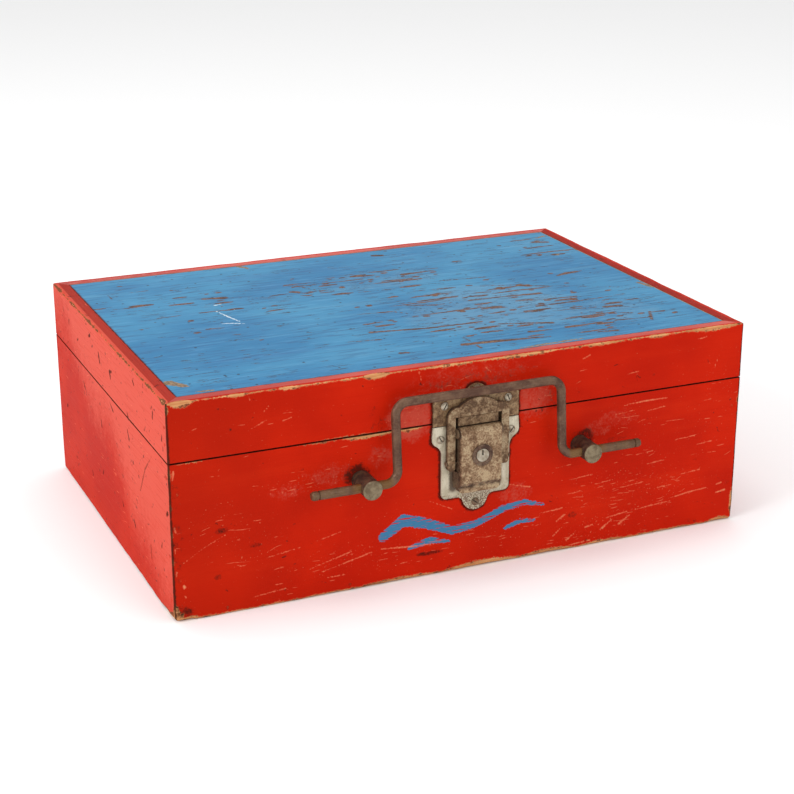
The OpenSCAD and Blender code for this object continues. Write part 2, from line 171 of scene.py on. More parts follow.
# Width in mm of the bare line along each arris, named by its two faces. Where it is below
# 0, only the unevenness of the line and the chips show.
CASE_WEAR = {
    "front bottom": 1.3, "back bottom": 1.0, "left bottom": 0.5, "right bottom": 0.9,
    "front top": -0.9, "back top": -0.9, "left top": -1.0, "right top": -0.9, "front left": -0.2,
    "front right": 0.2, "back left": 0.1, "back right": 0.1,
}
LID_WEAR = {
    "front top": 0.45, "back top": 0.3, "left top": 0.5, "right top": 0.4, "front bottom": -1.1,
    "back bottom": -1.0, "left bottom": -1.2, "right bottom": -1.0, "front left": -0.4,
    "front right": -0.4, "back left": -0.1, "back right": -0.1,
}
# Chips on an arris: place along it, half length, depth
CASE_CHIPS = {
    "front top": [(-72, 19, 2.2), (-104, 12, 0.5), (-44, 9, 1.9), (-186, 8, 0.5)],
    "front bottom": [(-50, 36, 3.0), (8, 34, 4.4), (56, 26, 3.6), (98, 24, 2.8), (150, 26, 2.0),
        (-100, 24, 1.7), (-190, 9, 3.0), (190, 12, 3.6)],
    "front left": [(4, 9, 3.8), (97, 5, 1.3), (58, 4, 0.9), (40, 3, 0.9), (76, 3, 0.8)],
    "front right": [(14, 14, 2.4), (88, 6, 1.3)],
    "left bottom": [(-126, 16, 3.2), (-60, 30, 1.0), (-138, 12, 6.0), (60, 40, 0.8)],
    "back bottom": [(80, 26, 2.6), (-120, 18, 3.2)],
    "back right": [(30, 12, 2.4)],
    "right bottom": [(70, 22, 2.6)],
    "right top": [(-20, 12, 1.0)],
    "back top": [(30, 14, 1.2)],
}
LID_CHIPS = {
    "front top": [(-66, 10, 3.0), (-123, 8, 1.7), (-156, 7, 1.9), (-191, 9, 3.2), (-84, 8, 0.9),
        (-18, 22, 1.3), (34, 34, 1.5), (92, 20, 1.3), (134, 12, 1.6), (176, 24, 2.2)],
    "front bottom": [(-84, 16, 0.3)],
    "left top": [(-133, 6, 2.4), (-104, 9, 1.0), (-38, 9, 1.3), (30, 8, 1.1), (82, 10, 1.6),
        (122, 7, 1.8)],
    "front left": [(138, 4, 1.6)],
    "back top": [(-60, 14, 2.2), (95, 18, 1.6)],
    "right top": [(-40, 20, 1.0), (80, 14, 1.4)],
    "back right": [(128, 10, 1.9)],
}

SIDE_NAMES = ("left", "right", "front", "back")
UPRIGHTS = ("front left", "front right", "back left", "back right")


def wear_of(span):
    """Bare lines and chips of the case or of the lid, by its height span."""
    return (CASE_WEAR, CASE_CHIPS) if span is CASE_Z else (LID_WEAR, LID_CHIPS)


def arrises(points, span):
    """For each arris of a box over the height span: distance from it and place along it."""
    x, y, z = points.T
    depth = dict(zip(SIDE_NAMES, (HALF_W + x, HALF_W - x, HALF_D + y, HALF_D - y)))
    place = dict(zip(SIDE_NAMES, (y, y, x, x)))
    drop = {"top": span[1] - z, "bottom": z - span[0]}
    found = {f"{side} {rim}": (np.maximum(depth[side], drop[rim]), place[side])
             for side in SIDE_NAMES for rim in drop}
    for name in UPRIGHTS:
        a, b = name.split()
        found[name] = (np.maximum(depth[a], depth[b]), z)
    return found


def chip_shapes(points, span):
    """For each chip: its depth, its profile along the arris, and the distance from it."""
    found = arrises(points, span)
    for arris, chips in wear_of(span)[1].items():
        away, along = found[arris]
        for at, half, deep in chips:
            yield deep, 1 - ((along - at) / half) ** 2, away


def bare_edges(points, span):
    """Signed width in mm of bare wood along the arrises; above 0 the paint is gone."""
    uneven = 1.1 * waves(points, 17, 1) + 0.7 * waves(points, 5, 2)
    found = arrises(points, span)
    best = np.full(len(points), -50.0)
    for arris, width in wear_of(span)[0].items():
        best = np.maximum(best, width + 0.7 * uneven - found[arris][0])
    for deep, profile, away in chip_shapes(points, span):
        best = np.maximum(best, deep * profile - away)
    return best


def lost_edge(points, span):
    """Extra rounding in mm where a chip has taken wood off an arris."""
    reach, share = 12, 0.42
    extra = np.zeros(len(points))
    for deep, profile, away in chip_shapes(points, span):
        extra = np.maximum(extra, share * deep * np.clip(profile, 0, 1) * (away < reach))
    return extra


def from_sawn(points, span):
    """Distance from the sawn rim where case and lid meet."""
    return span[1] - points[:, 2] if span is CASE_Z else points[:, 2] - span[0]


def outline(points, radius):
    """Depth behind the rounded upright faces, and the outward direction there."""
    x, y = points[:, 0], points[:, 1]
    ax, ay = HALF_W - np.abs(x), HALF_D - np.abs(y)
    out_x, out_y = np.clip(radius - ax, 0, None), np.clip(radius - ay, 0, None)
    corner = (out_x > 0) & (out_y > 0)
    length = np.where(corner, np.hypot(out_x, out_y), 1)
    depth = np.where(corner, radius - length, np.minimum(ax, ay))
    nx = np.where(corner, out_x / length, ax < ay) * np.sign(x)
    ny = np.where(corner, out_y / length, ax >= ay) * np.sign(y)
    return depth, np.stack([nx, ny], 1)


# Rounding of the arrises in mm: upright ones, sawn ones and outer ones, and how much they
# grow at the case's foot
UPRIGHT_R, SAWN_R, OUTER_R = 1.15, 0.25, 1.2
FOOT_UPRIGHT, FOOT_OUTER = 0.9, 0.8
ROUND_LEAST, ROUND_MOST = 0.2, 4.5


def soften(points, span):
    """Moves points of the sharp box onto worn, rounded arrises. It only takes wood away."""
    points = points.copy()
    foot = 1 - smooth(points[:, 2] - CASE_Z[0], 2, 16) if span is CASE_Z else 0
    upright = UPRIGHT_R + 0.35 * waves(points, 18, 3) + FOOT_UPRIGHT * foot
    depth, outward = outline(points, upright)
    points[:, :2] += outward * np.minimum(depth, 0)[:, None]
    depth = np.maximum(depth, 0)
    worn = np.where(from_sawn(points, span) < 20, SAWN_R, OUTER_R + FOOT_OUTER * foot)
    radius = worn * (1 + 0.35 * waves(points, 11, 4)) + lost_edge(points, span)
    radius = np.clip(radius, ROUND_LEAST, ROUND_MOST)
    for rim, sign in ((span[1], 1), (span[0], -1)):
        a, b = radius - depth, radius - np.abs(rim - points[:, 2])
        near = (a > 0) & (b > 0)
        length = np.where(near, np.hypot(a, b), 1)
        points[:, :2] -= outward * np.where(near, a - a / length * radius, 0)[:, None]
        points[:, 2] -= sign * np.where(near, b - b / length * radius, 0)
    return points


# ---------- meshes ----------


def new_piece(name, body, points, faces, materials, face_materials=None, marks=None):
    """A mesh piece in the row frame that rides on a body, with its painted attributes."""
    mesh = bpy.data.meshes.new(name)
    mesh.from_pydata((np.asarray(points) * MM).tolist(), [], faces)
    for m in materials:
        mesh.materials.append(m)
    if face_materials is not None:
        mesh.polygons.foreach_set("material_index", face_materials)
    for key, values in (marks or {}).items():
        layer = mesh.attributes.new(key, "FLOAT", "POINT")
        layer.data.foreach_set("value", np.asarray(values, np.float32))
    mesh.validate()
    mesh.shade_smooth()
    piece = bpy.data.objects.new(name, mesh)
    bpy.context.scene.collection.objects.link(piece)
    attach(piece, body)
    return piece


def crease(piece, degrees=38):
    """Keeps edges sharper than the angle as real creases in the shading."""
    piece.data.set_sharp_from_angle(angle=math.radians(degrees))


def tube_faces(rings, around):
    """Quads that join closed rings of the same number of points, with flat end faces."""
    faces = []
    for i in range(rings - 1):
        for j in range(around):
            k = (j + 1) % around
            faces.append((i * around + j, i * around + k, (i + 1) * around + k,
                          (i + 1) * around + j))
    faces.append(tuple(range(around - 1, -1, -1)))
    faces.append(tuple((rings - 1) * around + j for j in range(around)))
    return faces


# Side -> sign of the outward axis, which axis is outward, half length, half depth of the box
SIDES = {
    "front": (-1, 1, HALF_W, HALF_D), "back": (1, 1, HALF_W, HALF_D),
    "left": (-1, 0, HALF_D, HALF_W), "right": (1, 0, HALF_D, HALF_W),
}
# A nail head's radius, the edge of the dirt round it, its depth below the paint, and the
# grid lines on each side of it
NAIL_RADIUS = 1.0
NAIL_RIM = 1.9
NAIL_SINK = 0.3
NAIL_RINGS = (0.5, 1.0, 1.4, NAIL_RIM)


def nails_in(node):
    """The axis that each nail of a CAD node runs along, and its middle."""
    return [(0 if hi[0] - lo[0] > hi[1] - lo[1] else 1, (lo + hi) / 2)
            for lo, hi in loose_boxes(node)]


NAILS = nails_in("case_nails") + nails_in("lid_nails")


def nail_marks(side, span):
    """Places (along the board, height) of the nails driven through one side board."""
    sign, axis = SIDES[side][:2]
    return [
        (middle[1 - axis], middle[2])
        for nail_axis, middle in NAILS
        if nail_axis == axis and middle[axis] * sign > 0 and span[0] < middle[2] < span[1]
    ]


def board_points(side, span, step_u, step_z):
    """Grid over a mitred board's four long faces: its points, and its lines both ways.

    The board's loop runs up the outside, over the top, down the inside and back below, as
    (depth behind the face, height)."""
    sign, axis, half_len, half_out = SIDES[side]
    nails = nail_marks(side, span)
    u = lines(-half_len, half_len, step_u, [n[0] for n in nails], NAIL_RINGS)
    z = lines(span[0], span[1], step_z, [n[1] for n in nails], NAIL_RINGS)
    n = lines(0, BOARD, 2.5, ends=(0.35, 0.8, 1.4, 2.2, 3.2))
    loop = [(0.0, h) for h in z]
    loop += [(d, z[-1]) for d in n[1:]]
    loop += [(BOARD, h) for h in z[::-1][1::2]]
    if loop[-1][1] > span[0]:
        loop.append((BOARD, span[0]))
    loop += [(d, z[0]) for d in n[::-1][1:-1]]
    points = []
    reach = 30.0
    for along in u:
        share = np.clip((abs(along) - (half_len - reach)) / reach, 0, 1)
        for deep, height in loop:
            across = sign * (half_out - deep)
            place = along - math.copysign(deep * share, along)
            points.append((place, across, height) if axis == 1 else (across, place, height))
    return np.array(points), u, loop


def near_nails(points, side, span):
    """For each nail in a board: 1 at its head, fading to 0 at the edge of its dirt."""
    axis = SIDES[side][1]
    for at, height in nail_marks(side, span):
        gap = np.hypot(points[:, 1 - axis] - at, points[:, 2] - height)
        yield 1 - smooth(gap, NAIL_RADIUS, NAIL_RIM)


def press_nails(points, side, span):
    """Dimples the outer face where the nail heads sit below it."""
    sign, axis, _, half_out = SIDES[side]
    outer = np.abs(points[:, axis] * sign - half_out) < 0.05
    for close in near_nails(points, side, span):
        points[:, axis] -= sign * outer * NAIL_SINK * close
    return points


# ---------- painted marks on the boards ----------

# Blue brush marks, as (x, z, width): a long wavy swoosh and two short dabs
BRUSH = [
    [(-62, 33, 7), (-48, 42, 8.5), (-32, 37, 7.5), (-14, 29, 6), (4, 31, 5),
     (22, 38, 5), (38, 40, 4), (52, 36, 2)],
    [(-44, 22, 3), (-30, 25, 5), (-16, 22, 2)], [(24, 24, 2.5), (35, 27, 4), (46, 26, 1.5)],
]
# Bare streaks and scrapes on the case front and the lid's front rail: (x, z, width)
FRONT_SCRAPES = [
    [(110, 96.4, 0.4), (126, 97.4, 1.2), (143, 97.2, 0.4)], [(104, 91, 0.4), (118, 92, 0.6)],
    [(128, 90, 0.5), (142, 91.5, 0.6)], [(149, 24, 0.4), (163, 26, 1.2), (178, 27, 0.5)],
    [(120, 20, 0.4), (138, 21.5, 0.8), (150, 22, 0.4)], [(60, 12, 1.2), (66, 17, 0.6)],
    [(70, 7, 1.6), (77, 12, 0.8)], [(84, 14, 1.2), (90, 15, 0.7)],
    [(97, 11, 1.6), (104, 16, 1.0)], [(110, 12, 1.5), (118, 17, 0.8)],
    [(72, 3, 0.8), (88, 4, 1.2)], [(62, 22, 0.8), (68, 26, 1.4)],
    [(100, 18, 0.5), (116, 20, 1.0)], [(-112, 20, 0.4), (-84, 27, 0.9)],
    [(-104, 16.5, 0.4), (-70, 24, 0.9)], [(-64, 25, 0.5), (-44, 23, 1.2), (-26, 22, 0.4)],
    [(-150, 8, 0.4), (-128, 10, 0.7)], [(-100, 12, 0.4), (-88, 12, 0.7)],
    [(-193, 39, 0.3), (-180, 47, 0.5), (-166, 53, 0.3)], [(-140, 33, 0.4), (-118, 36, 0.6)],
    [(-108, 38, 0.3), (-90, 42, 0.6)], [(-30, 52, 0.3), (-14, 44, 0.3)],
    [(24, 55, 0.4), (42, 50, 0.7)], [(52, 30, 0.5), (66, 31, 1.0)],
    [(150, 66, 0.4), (166, 67, 0.7)], [(168, 60, 0.4), (180, 61, 0.6)],
    [(130, 52, 0.4), (143, 53, 0.6)], [(90, 44, 0.4), (104, 45, 0.7)],
    [(154, 40, 0.4), (172, 41.5, 0.7)], [(186, 22, 0.9), (193, 23, 1.4)],
    [(186, 28, 0.7), (190, 29, 1.0)], [(-197, 99, 1.6), (-197.6, 94, 0.9)],
    [(-197.6, 63, 0.8), (-197.2, 60, 1.0)], [(-197.8, 49, 0.8), (-197.6, 46, 0.7)],
    [(-197.4, 34, 0.9), (-197.6, 31, 0.7)], [(-193.4, 24, 1.6), (-193, 22.6, 1.4)],
    [(-193, 17, 0.9), (-192, 16, 0.7)], [(60, 60, 0.3), (72, 61, 0.6)],
    [(70, 50, 0.4), (88, 51.5, 0.6)], [(120, 60, 0.3), (134, 61, 0.6)],
    [(104, 38, 0.4), (128, 39.5, 0.6)], [(136, 33, 0.4), (150, 34, 0.6)],
    [(70, 40, 0.4), (80, 41, 0.6)],
]
LID_SCRAPES = [
    [(181.7, 122, 0.4), (179, 114, 0.5), (177, 107, 0.3)], [(-149, 141, 1.0), (-148, 137, 0.4)],
    [(-37.5, 140, 1.0), (-36, 133, 0.4)], [(78, 133, 0.7), (83, 135, 1.0)],
    [(164, 135, 0.5), (171, 136, 0.8)], [(-150, 118, 0.3), (-138, 123, 0.5)],
    [(-128, 121, 0.4), (-122, 122.5, 0.6)], [(-140, 128, 0.4), (-136, 132, 0.5)],
    [(112, 118, 0.4), (120, 119, 0.6)], [(8, 137, 0.7), (12, 133, 0.3)],
    [(-60, 110, 0.3), (-52, 111, 0.6)],
]
# Rubbed, faded and dirty patches on the front, the dirty ones partly painted shadow: x, z, their
# radii, strength
FRONT_SCUFFS = [
    (-120, 78, 32, 11, 0.62), (-92, 80, 20, 12, 0.5), (116, 84, 30, 10, 0.55),
    (0, 20, 210, 20, 0.45), (95, 12, 50, 16, 0.75), (120, 34, 90, 30, 0.62),
    (150, 62, 60, 30, 0.45), (-150, 45, 38, 26, 0.5), (-176, 62, 30, 26, 0.4),
    (0, 128, 56, 12, 0.6), (-44, 112, 14, 16, 0.9), (46, 112, 12, 14, 0.8),
    (180, 90, 30, 40, 0.4), (-90, 24, 60, 14, 0.6),
]
FRONT_FADE = [
    (-43, 110, 25, 23, 0.78), (43, 111, 22, 21, 0.64), (0, 132, 70, 14, 0.42),
    (-96, 81, 30, 11, 0.46), (104, 88, 30, 10, 0.42), (30, 48, 20, 12, 0.5),
    (-126, 75, 20, 9, 0.42), (-64, 88, 14, 12, 0.5), (92, 84, 18, 10, 0.45),
]
# dirt patches, and painted shadow round the feet of the posts, below the rod by the posts, beside
# the bail's arms and above its grip
FRONT_GRIME_AND_SHADOW = [
    (-80, 78, 13, 12, 0.95), (80, 78, 12, 11, 0.85), (-100, 69, 26, 6, 0.45),
    (103, 73, 18, 5, 0.4), (-66, 108, 9, 26, 0.36), (0, 131, 66, 8, 0.36), (58, 110, 7, 24, 0.36),
    (-148, 43, 7, 3, 0.62), (-168, 56, 8, 3.4, 0.55), (-172, 26, 5, 3, 0.5),
    (-195, 6, 11, 8, 0.68), (74, 25, 6, 4, 0.6), (-197, 60, 7, 70, 0.35), (-30, 16, 16, 2.4, 0.8),
]
# Dark knocks on the left side: (y, z, width)
LEFT_KNOCKS = [
    [(15, 127, 1.6), (13, 121, 2.4)], [(-18, 124, 1.4), (-12, 122, 2.6), (-14, 118, 1.2)],
    [(-112, 128, 1.4), (-111, 124, 2.2)], [(116, 57, 2.6), (117, 56, 2.6)],
    [(40, 131, 1.2), (36, 133, 2.0)], [(-52, 107, 1.2), (-54, 104, 2.2)],
    [(-50, 95, 1.0), (-53, 90, 2.2)], [(-134, 71, 2.0), (-133, 69, 2.0)],
    [(-93, 33, 0.9), (-94, 24, 1.5)], [(18, 79, 1.0), (17, 74, 2.0)],
    [(20, 41, 1.6), (21, 39, 1.6)], [(-28, 37, 1.2), (-30, 35, 2.0)],
    [(-55, 35, 1.0), (-58, 31, 2.0)], [(-130, 119, 1.4), (-129, 116, 2.4)],
    [(-131, 112, 1.4), (-131, 110, 1.6)], [(-105, 97, 0.5), (-88, 82, 0.9), (-74, 62, 0.4)],
    [(74, 118, 1.2), (71, 120, 2.0)], [(95, 127, 1.0), (96, 124, 1.6)],
    [(-72, 132, 1.0), (-69, 134, 1.8)], [(62, 92, 0.9), (58, 88, 1.4)],
    [(-8, 100, 0.8), (-16, 96, 1.2)], [(-120, 46, 1.0), (-118, 42, 1.6)],
    [(52, 30, 1.0), (50, 27, 1.6)], [(98, 24, 1.4), (96, 23, 1.4)],
]


def node_tree(node):
    """Search tree of a CAD node's surface, in millimetres."""
    mesh = frame["nodes"][node].data
    corners = [v.co / MM for v in mesh.vertices]
    return BVHTree.FromPolygons(corners, [tuple(p.vertices) for p in mesh.polygons])


PLATES = [node_tree("lock_base_plate"), node_tree("catch_plate")]


def plate_shadow(points):
    """Dirt gathered close round the outline of the two lock plates, and their painted shadow."""
    reach = 3.5
    found = np.zeros(len(points))
    near = (np.abs(points[:, 0]) < 40) & (points[:, 1] < -HALF_D + 1) & (points[:, 2] > 30)
    for i in np.flatnonzero(near):
        for tree in PLATES:
            gap = tree.find_nearest(Vector(points[i]), reach)[3]
            if gap is not None:
                found[i] = max(found[i], 1 - gap / reach)
    return smooth(found, 0.0, 0.95)


def seam_grime(points, side, span):
    """Dirt round the nails, in the corner joints, along the sawn rim and by the panel."""
    grime_and_shadow = np.zeros(len(points))
    for close in near_nails(points, side, span):
        grime_and_shadow = np.maximum(grime_and_shadow, 0.45 * close)
    found = arrises(points, span)
    upright = np.minimum.reduce([found[name][0] for name in UPRIGHTS])
    grime_and_shadow = np.maximum(grime_and_shadow, 1.15 * (1 - smooth(upright, 0.5, 2.0)))
    grime_and_shadow = np.maximum(grime_and_shadow, 1.1 * (1 - smooth(from_sawn(points, span), 0.0, 0.5)))
    if span is LID_Z:
        inner = BOARD - np.minimum(HALF_W - np.abs(points[:, 0]), HALF_D - np.abs(points[:, 1]))
        grime_and_shadow = np.maximum(grime_and_shadow, 0.9 * (1 - smooth(inner, 0.2, 1.4)))
    return grime_and_shadow


def face_marks(points, side, span):
    """Attribute values of a side board, as its paint material reads them."""
    flat = points[:, [1 - SIDES[side][1], 2]]
    bare = bare_edges(points, span)
    bare = np.where(from_sawn(points, span) < 0.02, bare - 0.8, bare)
    blue = scrape = np.full(len(points), OUTSIDE)
    grime_and_shadow = seam_grime(points, side, span)
    if side == "front":
        scrape = strokes(flat, FRONT_SCRAPES if span is CASE_Z else LID_SCRAPES)
        blue = strokes(flat, BRUSH if span is CASE_Z else ())
        scuff = np.maximum(0.08 + 0.16 * waves(points, 38, 10), patches(flat, FRONT_SCUFFS))
        fade_and_sheen = patches(flat, FRONT_FADE)
        # dirt, with painted shadow of the bail, the posts and the lock plates
        grime_and_shadow = np.maximum.reduce([grime_and_shadow, patches(flat, FRONT_GRIME_AND_SHADOW),
                                   1.1 * plate_shadow(points)])
    else:
        scuff = 0.14 + 0.3 * waves(points, 60, 7)
        # painted sheen: on the side and back boards the paint is laid paler towards the top, and
        # on the left side also towards the front
        sheen_rise = points[:, 2] / 70 - 0.55 + 0.35 * waves(points, 55, 9)
        if side == "left":
            fade_and_sheen = smooth(sheen_rise - points[:, 1] / 170, -0.5, 1.3)
            spots = 1.1 * smooth(strokes(flat, LEFT_KNOCKS), -0.9, 0.5)
        else:
            fade_and_sheen = 0.4 * smooth(sheen_rise + 0.5 * waves(points, 90, 12), 0.0, 1.6)
            spots = 0.5 * smooth(waves(points, 22, 8), 0.4, 0.75)
        grime_and_shadow = np.maximum(grime_and_shadow, spots)
    return {"bare": bare, "blue": blue, "scrape": scrape, "scuff": scuff, "fade_and_sheen": fade_and_sheen,
            "grime_and_shadow": grime_and_shadow}


# ---------- node helpers ----------

EVEN = (1, 1, 1)
ALONG_X = (9, 1, 1)
ALONG_Y = (1, 9, 1)


def linear(red, green, blue):
    """An sRGB colour given from 0 to 255, as Blender's linear RGBA."""
    def one(c):
        c /= 255
        return c / 12.92 if c <= 0.04045 else ((c + 0.055) / 1.055) ** 2.4
    return (one(red), one(green), one(blue), 1.0)


def finer(grain, factor):
    """The grain's stretch, longer by a factor."""
    return [s * factor if s > 1 else s for s in grain]


class Finish:
    """A material with one Principled shader, short calls that add its nodes, and the
    colour laid down so far. Colours are sRGB from 0 to 255; sizes are millimetres."""

    def __init__(self, name, **values):
        self.material = bpy.data.materials.new(name)
        self.material.use_nodes = True
        self.nodes = self.material.node_tree.nodes
        self.links = self.material.node_tree.links
        self.shader = self.nodes["Principled BSDF"]
        self.place = self.nodes.new("ShaderNodeTexCoord").outputs["Object"]
        self.colour = None
        for key, value in values.items():
            self.put(self.shader.inputs[key.replace("_", " ")], value)

    def put(self, socket, value):
        """Links a socket, or sets a plain value."""
        if isinstance(value, bpy.types.NodeSocket):
            self.links.new(value, socket)
        else:
            socket.default_value = value

    def node(self, kind, sockets, **settings):
        """Adds a node with these settings and these inputs, by name or place."""
        node = self.nodes.new("ShaderNode" + kind)
        for key, value in settings.items():
            setattr(node, key, value)
        for key, value in sockets.items():
            self.put(node.inputs[key], value)
        return node

    def mapped(self, place, scale=EVEN, shift=(0, 0, 0), turn=(0, 0, 0)):
        """Coordinates turned and shifted, then scaled."""
        return self.node("Mapping", {"Vector": place, "Scale": scale, "Location": shift,
                                     "Rotation": turn}).outputs["Vector"]

    def noise(self, size, detail=3.0, stretch=EVEN, seed=0.0, rough=0.55, bend=0.0):
        """Noise from 0 to 1 with features about size mm wide, stretched per axis."""
        place = self.mapped(self.place, [1 / (size * MM * s) for s in stretch],
                            (seed * 3.7, seed * 8.1, seed * 5.3))
        return self.node("TexNoise", {"Vector": place, "Scale": 1, "Detail": detail,
                                      "Roughness": rough, "Distortion": bend}).outputs["Fac"]

    def dashes(self, length, width, share, seed, along=0, turn=0.0, edge=0.3, place=None):
        """Scattered marks, 1 inside, about length by width mm, in a share of their cells."""
        long_room, wide_room, soft = 1.7, 2.2, 0.12
        spin = [0.0, 0.0, 0.0]
        spin[1 if along == 0 else 0] = math.radians(turn)
        turned = self.mapped(place or self.place, EVEN,
                             (seed * 0.37, seed * 0.81, seed * 0.53), spin)
        room = [long_room * length if i == along else wide_room * width for i in range(3)]
        cells = self.mapped(turned, [1 / (r * MM) for r in room])
        texture = self.node("TexVoronoi", {"Vector": cells, "Scale": 1})
        picked = self.node("SeparateColor", {0: texture.outputs["Color"]}).outputs[0]
        return self.times(self.math("LESS_THAN", picked, share),
                          self.step(texture.outputs["Distance"], edge, edge - soft))

    def crackle(self, size, width, stretch, place):
        """Net of cracks about width mm wide round cells of about size mm."""
        cells = self.mapped(place, [1 / (size * MM * s) for s in stretch])
        texture = self.node("TexVoronoi", {"Vector": cells, "Scale": 1},
                            feature="DISTANCE_TO_EDGE")
        reach = width / size / 2
        return self.step(texture.outputs["Distance"], reach, reach * 0.4)

    def bent(self, size, shift):
        """The surface's coordinates, pushed about by up to shift mm in waves of size mm."""
        texture = self.node("TexNoise", {"Vector": self.place, "Scale": 1 / (size * MM)})
        centred = self.node("VectorMath", {0: texture.outputs["Color"], 1: (0.5, 0.5, 0.5)},
                            operation="SUBTRACT").outputs[0]
        return self.node("VectorMath", {0: centred, 1: (shift * MM * 2,) * 3, 2: self.place},
                         operation="MULTIPLY_ADD").outputs[0]

    def mark(self, name):
        """A value painted on the mesh's points."""
        return self.node("Attribute", {}, attribute_name=name).outputs["Fac"]

    def axis(self, name):
        """One coordinate of the surface, in millimetres."""
        return self.times(self.node("SeparateXYZ", {0: self.place}).outputs[name], 1 / MM)

    def beside(self, middle):
        """Distance to the left or right of a place along the front, in millimetres."""
        return self.math("ABSOLUTE", self.math("SUBTRACT", self.axis("X"), middle))

    def crevice(self, reach):
        """0 in the piece's own corners and gaps, 1 in the open."""
        return self.node("AmbientOcclusion", {"Distance": reach * MM}, only_local=True,
                         samples=6).outputs["AO"]

    def math(self, kind, a, b=0.0):
        return self.node("Math", {0: a, 1: b}, operation=kind).outputs[0]

    def fold(self, kind, terms):
        """One operation over all the terms, from the first to the last."""
        total = terms[0]
        for t in terms[1:]:
            total = self.math(kind, total, t)
        return total

    def add(self, *terms):
        return self.fold("ADD", terms)

    def times(self, *terms):
        return self.fold("MULTIPLY", terms)

    def most(self, *terms):
        return self.fold("MAXIMUM", terms)

    def sum_of(self, *pairs):
        """Sum of values, each times its weight."""
        return self.add(*(self.times(value, weight) for value, weight in pairs))

    def swing(self, value, size):
        """Noise from 0 to 1 turned into a swing of plus or minus size / 2."""
        return self.times(self.math("SUBTRACT", value, 0.5), size)

    def step(self, value, low, high, top=1.0):
        """0 below low and top above high, smooth between."""
        return self.node("MapRange", {"Value": value, "From Min": low, "From Max": high,
                                      "To Max": top},
                         interpolation_type="SMOOTHSTEP").outputs["Result"]

    def mix(self, share, a, b):
        """Mixes two colours."""
        a, b = (linear(*c) if isinstance(c, tuple) else c for c in (a, b))
        node = self.node("Mix", {0: share}, data_type="RGBA")
        self.put(node.inputs[6], a)
        self.put(node.inputs[7], b)
        return node.outputs[2]

    def blend(self, share, a, b):
        """Mixes two plain numbers or values."""
        return self.node("Mix", {0: share, 2: a, 3: b}).outputs[0]

    def start(self, share, a, b):
        """Begins the colour as a mix of two."""
        self.colour = self.mix(share, a, b)

    def lay(self, share, colour):
        """Lays a colour over what is there."""
        self.colour = self.mix(share, self.colour, colour)

    def finish(self, rough, height, depth):
        """Joins the colour, a roughness and a bump of depth mm to the shader."""
        bump = self.node("Bump", {"Strength": 1, "Distance": depth * MM, "Height": height})
        self.links.new(self.colour, self.shader.inputs["Base Color"])
        self.links.new(rough, self.shader.inputs["Roughness"])
        self.links.new(bump.outputs["Normal"], self.shader.inputs["Normal"])
        return self.material


# ---------- materials ----------

TAN = (184, 122, 76)
PALE_TAN = (212, 158, 106)
BROWN = (108, 62, 34)
# dark brown of dirt, also laid as painted shadow on the front
DIRT_AND_SHADOW = (52, 20, 12)


def wood_colour(f, grain):
    """Raw pine: pale and dark growth lines with a few stains."""
    growth = f.noise(1.1, 4, finer(grain, 2), 11)
    wide = f.noise(7, 3, grain, 12, bend=0.6)
    pale = f.mix(f.step(growth, 0.35, 0.7), TAN, PALE_TAN)
    return f.mix(f.step(wide, 0.52, 0.75, 0.55), pale, BROWN), growth


